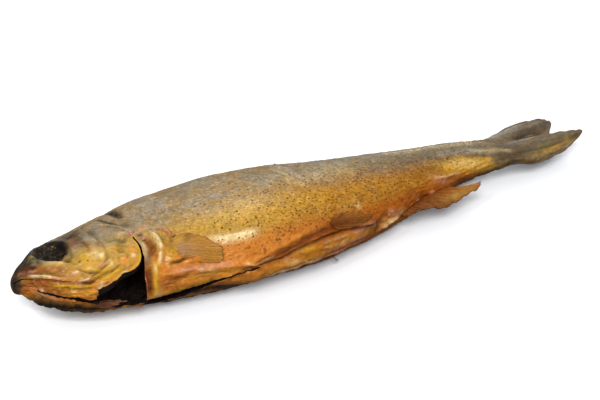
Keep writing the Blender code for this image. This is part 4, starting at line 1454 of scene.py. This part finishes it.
zones = {  # (along, angle or share) pairs
    "flank": (
        (40, 96), (70, 108), (100, 107), (125, 101), (147, 99), (166, 98), (199, 101),
        (231, 110), (250, 116), (272, 124), (284, 134), (290, 158), (297, 190), (350, 190),
    ),
    "flankBlend": 20,
    "belly": (
        (10, 140), (40, 150), (76, 134), (105, 138), (130, 141), (150, 139), (175, 143),
        (200, 146), (235, 150), (262, 158), (278, 170), (290, 195), (350, 195),
    ),
    "bellyBlend": 12,
    "amber": (
        (0, 0.35), (60, 0.1), (100, 0.1), (130, 0.25), (150, 0.65), (175, 0.95),
        (250, 1), (300, 0.6), (350, 0.3),
    ),
    "tailward": ((0, 0), (190, 0), (215, 0.45), (240, 0.9), (350, 1)),
    "oily": ((0, 0.8), (60, 0.7), (110, 0.4), (150, 0.15), (250, 0.15), (350, 0.1)),
    "flecked": ((0, 0.1), (30, 0.5), (66, 0.5), (90, 0.8), (140, 0.9), (180, 0.6), (230, 0.3), (300, 0.1)),
    "freckled": (
        (62, 0), (88, 0), (104, 0.3), (118, 0.5), (145, 1), (235, 1), (258, 0.5), (280, 0.15), (300, 0),
    ),
}


def skinPlacesOf(mesh):
    # where each point is on the skin; a point that a cut has made takes the place of the nearest one
    known = readValues(mesh, "skinKnown") > 0.5
    places = np.array([readValues(mesh, name) for name in ("skinAlong", "skinArc", "skinTurn")])
    tree = KDTree(int(known.sum()))
    for i in np.nonzero(known)[0]:
        tree.insert(mesh.vertices[i].co, int(i))
    tree.balance()
    for i in np.nonzero(~known)[0]:
        places[:, i] = places[:, tree.find(mesh.vertices[i].co)[1]]
    return places


def paintBody(mesh):
    u, v, w = skinPlacesOf(mesh)
    angle = np.degrees(w)
    folded = np.where(angle > 180, 360 - angle, angle)
    layers = markTints(u, v)
    for name in ("flank", "belly"):
        edge = curveThrough(zones[name], u)
        blend = zones[name + "Blend"]
        layers[name] = ease(rise(folded, edge - blend, edge + blend))
    for name in ("amber", "tailward", "oily", "flecked", "freckled"):
        layers[name] = curveThrough(zones[name], u)
    layers["flecked"] *= rise(folded, 135, 110)
    layers["oily"] *= 0.35 + 0.65 * rise(folded, 95, 120)
    layers["freckled"] *= np.maximum(rise(folded, 66, 102), 0.2) * rise(folded, 160, 144)
    layers["scaled"] = rise(u, 66, 74) * rise(u, 320, 290) * (0.35 + 0.65 * rise(folded, 150, 130))
    setValues(mesh, layers)
    for name in ("skinAlong", "skinArc", "skinTurn", "skinKnown"):
        mesh.attributes.remove(mesh.attributes[name])


body = makeBody()
cutBody(body, [
    gillOpeningCutter(),
    gillChamberCutter(),
    bladeCutter("cutBellySlit", openings["bellySlit"], 90, 1.3),
    bladeCutter("cutJawSlit", openings["jawSlit"], 30, 4.1),
    mouthCutter(),
])
paintBody(body.data)
print("body:", len(body.data.vertices), "vertices,", len(body.data.polygons), "faces")


# Fins. A folded fin fans out over the skin from its root to its rim; a standing fin carries on the line of
# the back or the belly.
def finPlate(name, middle, normal, thick, values):
    # a thin closed plate over a grid of middle points
    columns, rows = middle.shape[:2]
    half = normal * thick[..., None] / 2
    points = np.concatenate(((middle + half).reshape(-1, 3), (middle - half).reshape(-1, 3)))
    points[:, 2] = np.maximum(points[:, 2], floorGap)
    size = columns * rows
    faces = []
    for i in range(columns - 1):
        for j in range(rows - 1):
            a = i * rows + j
            faces.append((a, a + 1, a + rows + 1, a + rows))
            faces.append((size + a, size + a + rows, size + a + rows + 1, size + a + 1))
    border = list(range(rows))
    border += [i * rows + rows - 1 for i in range(1, columns)]
    border += [(columns - 1) * rows + j for j in range(rows - 2, -1, -1)]
    border += [i * rows for i in range(columns - 2, 0, -1)]
    for a, b in zip(border, border[1:] + border[:1]):
        faces.append((a, b, size + b, size + a))
    shape = middle.shape[:2]
    both = {key: np.tile(np.broadcast_to(layer, shape).reshape(-1), 2) for key, layer in values.items()}
    return newPiece(name, points, faces, [driedFin], both)


finShape = {
    "rimThick": 0.45,
    "rootThicker": 0.5,
    "rayHeight": 0.18,
    "standingThick": 1.1,
    "standingRootThicker": 3.6,
    "standingRootDepth": 5,  # how far its root goes into the body
    "rays": 13,
    "standingRays": 12,
}
foldedFins = {
    "pectoralFinLeft": {
        "root": ((79.0, 127), (79.5, 136), (81.0, 146)),
        "rim": (
            (83.0, 122), (88.5, 123), (94.5, 129), (99.5, 138), (102.5, 148),
            (102.6, 156), (99.6, 164), (92.5, 161), (86.0, 155),
        ),
        "lift": 0.7,  # above the skin
        "free": 0.5,  # share of the rim that lies free; the rest sinks back into the skin
        "rust": 0.25,  # how red it is, and how dark its lower part
        "shade": 0,
    },
    "pelvicFinLeft": {
        "root": ((165.5, 149), (165.8, 151.5), (166.5, 155)),
        "rim": (
            (168.0, 144.5), (173.0, 142.5), (179.0, 144), (184.5, 148.5), (189.5, 154),
            (193.5, 160), (190.5, 165), (180.0, 166), (169.0, 161),
        ),
        "lift": 0.7,
        "free": 0.6,
        "rust": 0.95,
        "shade": 0.3,
    },
    "pectoralFinRight": {
        "root": ((76.0, 236), (76.0, 240), (76.0, 244)),
        "rim": ((80, 234), (90, 233), (99, 236), (103, 243), (99, 251), (90, 252), (80, 247)),
        "lift": 0.35,
        "free": 0.6,
        "rust": 0.3,
        "shade": 0,
    },
    "pelvicFinRight": {
        "root": ((165.0, 234), (165.0, 237), (165.0, 240)),
        "rim": ((169, 231), (178, 230), (187, 232), (192, 236), (187, 242), (177, 244), (169, 243)),
        "lift": 0.35,
        "free": 0.6,
        "rust": 0.5,
        "shade": 0,
    },
}


def makeFoldedFin(name, fin, steps=34, rows=96):
    root, rim = smoothPlaces(fin["root"], rows), smoothPlaces(fin["rim"], rows)
    share = np.linspace(0, 1, steps + 1)[:, None]
    across = np.linspace(0, 1, rows + 1)[None, :]
    seed = sum(map(ord, name)) % 17
    ragged = np.array([noiseAt(9 * a, seed) for a in across[0]])[None, :]
    reach = share * (1 + 0.05 * ragged * share)
    along, angle = [start * (1 - reach) + end * reach for start, end in zip(root, rim)]
    turn = np.radians(angle)
    normal = surfaceNormals(along, turn)
    ray = np.cos(tau * finShape["rays"] * across)
    billow = 0.12 * np.sin(pi * share) * np.sin(5 * across + seed)
    lift = fin["lift"] * (share * (1.25 - 0.45 * share) + billow)
    sunk = rise(across, fin["free"], 1) ** 0.8
    lift = lift * (1 - sunk) - 0.45 * sunk - 0.3 * (1 - np.minimum(1, 5 * share))
    under = markHeights(along.reshape(-1), arcFromTop(along, turn).reshape(-1)).reshape(along.shape)
    lift = 0.1 + lift + 0.55 * np.maximum(under, 0) + 0.16 * ray * np.minimum(1, 3 * share)
    thick = finShape["rimThick"] + finShape["rootThicker"] * (1 - share) + finShape["rayHeight"] * ray
    thick = thick * np.clip(np.minimum(across, 1 - across) / 0.05, 0.25, 1)
    # a dark line along the fin's fold, painted shade in it; with the fin's shade, deep also darkens its
    # lower part as painted shade
    fold = soft(across, 0.36 - 0.2 * share, 0.05) * np.clip(2.5 * share - 0.8, 0, 0.45)
    values = {
        "across": across,
        "along": share,
        "rust": fin["rust"] * (1 - 0.4 * share),
        "edge": soft(across, 0, 0.04) * np.clip(3 * share - 0.9, 0, 1),
        "glow": soft(across, 0.12, 0.2) * soft(share, 0.35, 0.35) * (1 - fin["rust"]),
        "deep": fold + fin["shade"] * rise(across, 0.42, 0.72),
        "grey": soft(share, 0.15, 0.3) * soft(across, 0.5, 0.3),
    }
    return finPlate(name, surfacePoints(along, turn) + normal * lift[..., None], normal, thick, values)


backFin = {
    "side": 1, "drop": 0, "bend": 2, "grey": 1,
    "wave": 1, "crumple": 0.3, "crease": 3.2, "teeth": 0.1, "curl": 0,
}
standingFins = {  # rows are (share of its length, height, how far it leans back)
    "dorsalFin": {
        **backFin, "from": 148, "to": 182,
        "rows": ((0, 2, 4), (0.15, 9, 11), (0.5, 10, 13), (0.85, 7, 12), (1, 3, 9)),
    },
    "adiposeFin": {**backFin, "from": 246, "to": 256, "rows": ((0, 1, 1), (0.5, 5, 6), (1, 3, 8))},
    "analFin": {
        "from": 217, "to": 246,
        "side": -1,  # the belly's
        "drop": 2,  # below the middle of the body
        "bend": 1.2,  # how late the lean sets in
        "grey": 0,
        "wave": 2, "crumple": 2, "crease": 4.5, "teeth": 0.02, "curl": 0.8,
        "rows": ((0, 1, 2), (0.2, 4.4, 8), (0.5, 8.4, 15), (0.8, 8.2, 21), (0.93, 6.6, 28), (1, 3.8, 28.5)),
    },
}


def makeStandingFin(name, fin, steps=90, rows=30):
    share = np.linspace(0, 1, steps + 1)[:, None]
    out = np.linspace(0, 1, rows + 1)[None, :]
    seed = sum(map(ord, name)) % 13
    x = fin["from"] + (fin["to"] - fin["from"]) * share
    reach, sweep = [curveThrough([(row[0], row[k]) for row in fin["rows"]], share) for k in (1, 2)]
    teeth = np.array([noiseAt(11 * s, seed, 1) for s in share[:, 0]])[:, None]
    depth = finShape["standingRootDepth"]
    far = (reach + depth) * out * (1 + fin["teeth"] * teeth * out) - depth
    edge = sizeAlong(1 if fin["side"] > 0 else 2, x)
    ray = np.cos(tau * finShape["standingRays"] * share)
    height = sizeAlong(4, x) + sizeAlong(3, x) / 2 - fin["drop"]
    wave = 0.5 * fin["wave"] * np.sin(9 * share + 4 * out + seed) * out ** 2
    wave = wave + finShape["rayHeight"] * ray * out
    wave = wave + fin["curl"] * (share * out) ** 4
    spots = np.stack(np.broadcast_arrays(x + sweep * out, far, 0 * far), -1)
    crumpled = uneven(spots.reshape(-1, 3), fin["crease"], seed).reshape(wave.shape)
    wave = wave + fin["crumple"] * out * crumpled
    leaning = x + sweep * out ** fin["bend"]
    middle = np.stack(np.broadcast_arrays(leaning, edge + fin["side"] * far, height + wave), -1)
    thick = finShape["standingThick"] + finShape["standingRootThicker"] * (1 - out) ** 1.5
    thick = thick * (0.55 + 0.45 * np.sin(pi * share)) + 0.15 * ray
    thick = thick * np.clip((1 - out) / 0.08, 0.35, 1)
    warm = 1 - fin["grey"]
    values = {
        "across": share * 0.5,
        "along": out,
        "rust": (1 - 0.35 * out) * warm,
        "deep": soft(share, 0.35, 0.5) * np.clip(1.8 - 1.25 * out, 0, 0.5) * (1 - 0.6 * fin["grey"]),
        "glow": 0.5 * warm * soft(share, 0.8, 0.2) * soft(out, 0.75, 0.2),
        "grey": fin["grey"],
    }
    normal = np.broadcast_to((0.0, 0.0, 1.0), middle.shape)
    return finPlate(name, middle, normal, thick, values)


fins = [makeFoldedFin(name, fin) for name, fin in foldedFins.items()]
fins += [makeStandingFin(name, fin) for name, fin in standingFins.items()]
print("fins:", len(fins))


# Eyes, torn bits, a loose scrap and the strip of flesh at the throat.
def lump(points, faces, centre, radii, spin, seed, rough=0.5, rings=14, segments=20):
    # adds one uneven pebble to a mesh in the making
    start = len(points)
    turn = Matrix.Rotation(radians(spin), 3, "Z")
    for i in range(rings + 1):
        for j in range(segments):
            a, b = pi * i / rings, tau * j / segments
            way = Vector((sin(a) * cos(b), sin(a) * sin(b), cos(a)))
            swell = 1 + rough * noise.noise(way * 1.7 + Vector((seed, 0, 0)))
            local = Vector([k * r * swell for k, r in zip(way, radii)])
            points.append(centre + turn @ local)
    faces += ringFaces(rings + 1, segments, start)


eyes = {"places": {"eyeLeft": (25.3, 79), "eyeRight": (25.3, 281)}, "sink": 3.9, "radii": (5.6, 5.6, 1.7)}


def onSkin(along, angle):
    # the skin's point at a place, and the way out of the skin there
    turn = np.array(radians(angle))
    return Vector(surfacePoints(along, turn)), Vector(surfaceNormals(np.array(along), turn))


def makeEye(name, spot, steps=26, segments=48):
    # a crumpled dome, closed behind
    at, out = onSkin(*spot)
    axes = out.to_track_quat("Z", "X").to_matrix()
    broad, long, deep = eyes["radii"]
    points = []
    for i in range(steps + 1):
        for j in range(segments):
            r, b = i / steps, tau * j / segments
            crumple = noiseAt(r * cos(b) * 2.3, r * sin(b) * 2.3, 4)
            bulge = 1 - r ** 2 + 0.9 * crumple * (1 - r ** 4)
            local = Vector((r * cos(b) * broad, r * sin(b) * long, bulge * deep - eyes["sink"]))
            points.append(at + axes @ local)
    for j in range(segments):
        b = tau * j / segments
        points.append(at + axes @ Vector((cos(b) * 3, sin(b) * 3, -eyes["sink"] - 2.5)))
    behind = tuple((steps + 1) * segments + j for j in range(segments))
    faces = ringFaces(steps + 2, segments) + [behind]
    return newPiece(name, points, faces, [driedEye], weld=True, smoothAngle=55)


tornBits = (  # place on the skin, radii, lift above it, spin
    ((64.9, 101.5), (2.0, 1.2, 0.7), 0.5, 50),
    ((68.6, 113.5), (1.9, 1.1, 0.6), 0.4, 75),
    ((206.5, 171), (2.4, 0.8, 0.5), 0.3, 40),
    ((243.5, 177), (1.9, 0.7, 0.5), 0.1, 10),
)


def makeTornBits():
    points, faces = [], []
    for i, (spot, radii, lift, spin) in enumerate(tornBits):
        at, out = onSkin(*spot)
        lump(points, faces, at + out * lift, radii, spin, 2.9 * i)
    return newPiece("tornFleshBits", points, faces, [tornFlesh], weld=True, smoothAngle=55)


scrap = {
    "path": ((169.0, -34.6, 6.6), (170.2, -36.6, 5.0), (173.0, -34.0, 2.6)),
    "breadth": 0.55,
    "height": 0.385,
}


def makeScrap(steps=24):
    # a curled shred that hangs from the belly below the fins
    def swell(i, side, up):
        size = (0.35 + sin(pi * i / steps)) * (1 + 0.5 * noiseAt(i / 3))
        return scrap["breadth"] * size, scrap["height"] * size

    path = np.stack(smoothPlaces(scrap["path"], steps), -1)
    return tube("looseScrap", path, 12, swell, tornFlesh)


throat = {
    "path": ((35, -24.5, 15.0), (41, -25.0, 13.6), (48, -25.2, 11.8), (54, -26.0, 10.8), (60, -28.5, 9.0)),
    "breadth": 2.8,
    "height": 1.8,
    "values": {  # at its front end and at its rear end
        "belly": (1.0, 1.0),
        "amber": (1.0, 1.0),
        "rust": (0.6, 0.0),
        "umber": (1.0, 0.7),
        "slate": (0.0, 1.0),
        "pink": (0.0, 0.5),
        "dark": (0.55, 0.0),
        "oily": (0.3, 0.1),
    },
}


def makeThroat(steps=60):
    # the flesh below the gill opening, which joins the jaw to the belly
    def swell(i, side, up):
        size = min(1, 0.35 + sin(pi * i / steps) * 1.4)
        size *= 1 + 0.35 * noiseAt(i / 9, 2.2 * side, 2.2 * up)
        return throat["breadth"] * size, throat["height"] * size

    path = np.stack(smoothPlaces(throat["path"], steps), -1)
    made = tube("throatFlesh", path, 36, swell, smokedSkin)
    start, end = [(throat["path"][k][0] - origin.x) * mm for k in (0, -1)]
    along = np.array([vertex.co.x for vertex in made.data.vertices])
    share = rise(along, start, end)
    ends = throat["values"].items()
    setValues(made.data, {name: front + (rear - front) * share for name, (front, rear) in ends})
    return made


eyePieces = [makeEye(name, spot) for name, spot in eyes["places"].items()]
for piece in (body, *fins, *eyePieces, makeTornBits(), makeScrap(), makeThroat()):
    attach(piece, "root")
    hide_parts("smoked_fish")
print("pieces in place")


# Floor, light and camera.
studio = {
    "floor": (0.90, 0.905, 0.92),
    "floorHaze": (0.92, 0.92, 0.925),
    "floorGlow": (0.10, 0.105, 0.115),  # what the camera sees on top, so that the floor is a clean white
    "floorBounce": (0.28, 0.26, 0.235),  # the floor as the fish sees it
    "zenith": (0.95, 0.98, 1.0),
    "horizon": (0.30, 0.30, 0.32),
    "skyStrength": 0.62,
    "lights": (  # name, place from the fish's middle, size, power in watts
        ("frontLight", (-0.55, -0.95, 1.15), 0.7, 20.0),
        ("backLight", (0.25, 1.0, 0.75), 0.9, 6.0),
        ("glintLight", (-0.7, -0.35, 0.9), 0.10, 1.6),
    ),
}


def makeFloor():
    bpy.ops.mesh.primitive_plane_add(size=8, location=(0, 0, cadLow.z))
    floor = bpy.context.object
    floor.name = "floor"
    material, tree, shader = newMaterial("paleTable")
    seen = addNode(tree, "LightPath").outputs["Is Camera Ray"]
    base = mixColour(tree, blur(tree, place(tree), 300, 2.0), studio["floor"], studio["floorHaze"])
    feed(tree, shader, {
        "Base Color": mixColour(tree, seen, studio["floorBounce"], base),
        "Roughness": 0.8,
        "Specular IOR Level": 0.1,
        "Emission Color": studio["floorGlow"],
        "Emission Strength": seen,
    })
    floor.data.materials.append(material)


def makeLights():
    world = bpy.data.worlds.new("studioSky")
    bpy.context.scene.world = world
    world.use_nodes = True
    tree = world.node_tree
    towards = addNode(tree, "TexCoord").outputs["Generated"]
    height = ramp(tree, addNode(tree, "SeparateXYZ", {0: towards}).outputs["Z"], 0.0, 0.9)
    feed(tree, tree.nodes["Background"].inputs, {
        "Color": mixColour(tree, height, studio["horizon"], studio["zenith"]),
        "Strength": studio["skyStrength"],
    })
    for name, spot, size, power in studio["lights"]:
        light = bpy.data.lights.new(name, "AREA")
        light.shape = "DISK"
        light.size = size
        light.energy = power
        made = intoScene(bpy.data.objects.new(name, light))
        made.location = spot
        made.rotation_euler = Vector(spot).to_track_quat("Z", "Y").to_euler()


camera = {"azimuth": -29.5, "elevation": 32.0, "distance": 0.9, "lens": 93.42, "target": (187.0, 32.5, 0.0)}


def makeCamera():
    a, e = radians(camera["azimuth"]), radians(camera["elevation"])
    back = Vector((sin(a) * cos(e), -cos(a) * cos(e), sin(e)))
    target = (Vector(camera["target"]) - origin) * mm
    data = bpy.data.cameras.new("camera")
    data.lens = camera["lens"]
    made = intoScene(bpy.data.objects.new("camera", data))
    made.location = target + back * camera["distance"]
    made.rotation_euler = back.to_track_quat("Z", "Y").to_euler()
    bpy.context.scene.camera = made


makeFloor()
makeLights()
makeCamera()
bpy.context.scene.view_settings.view_transform = "Standard"
print("studio ready")
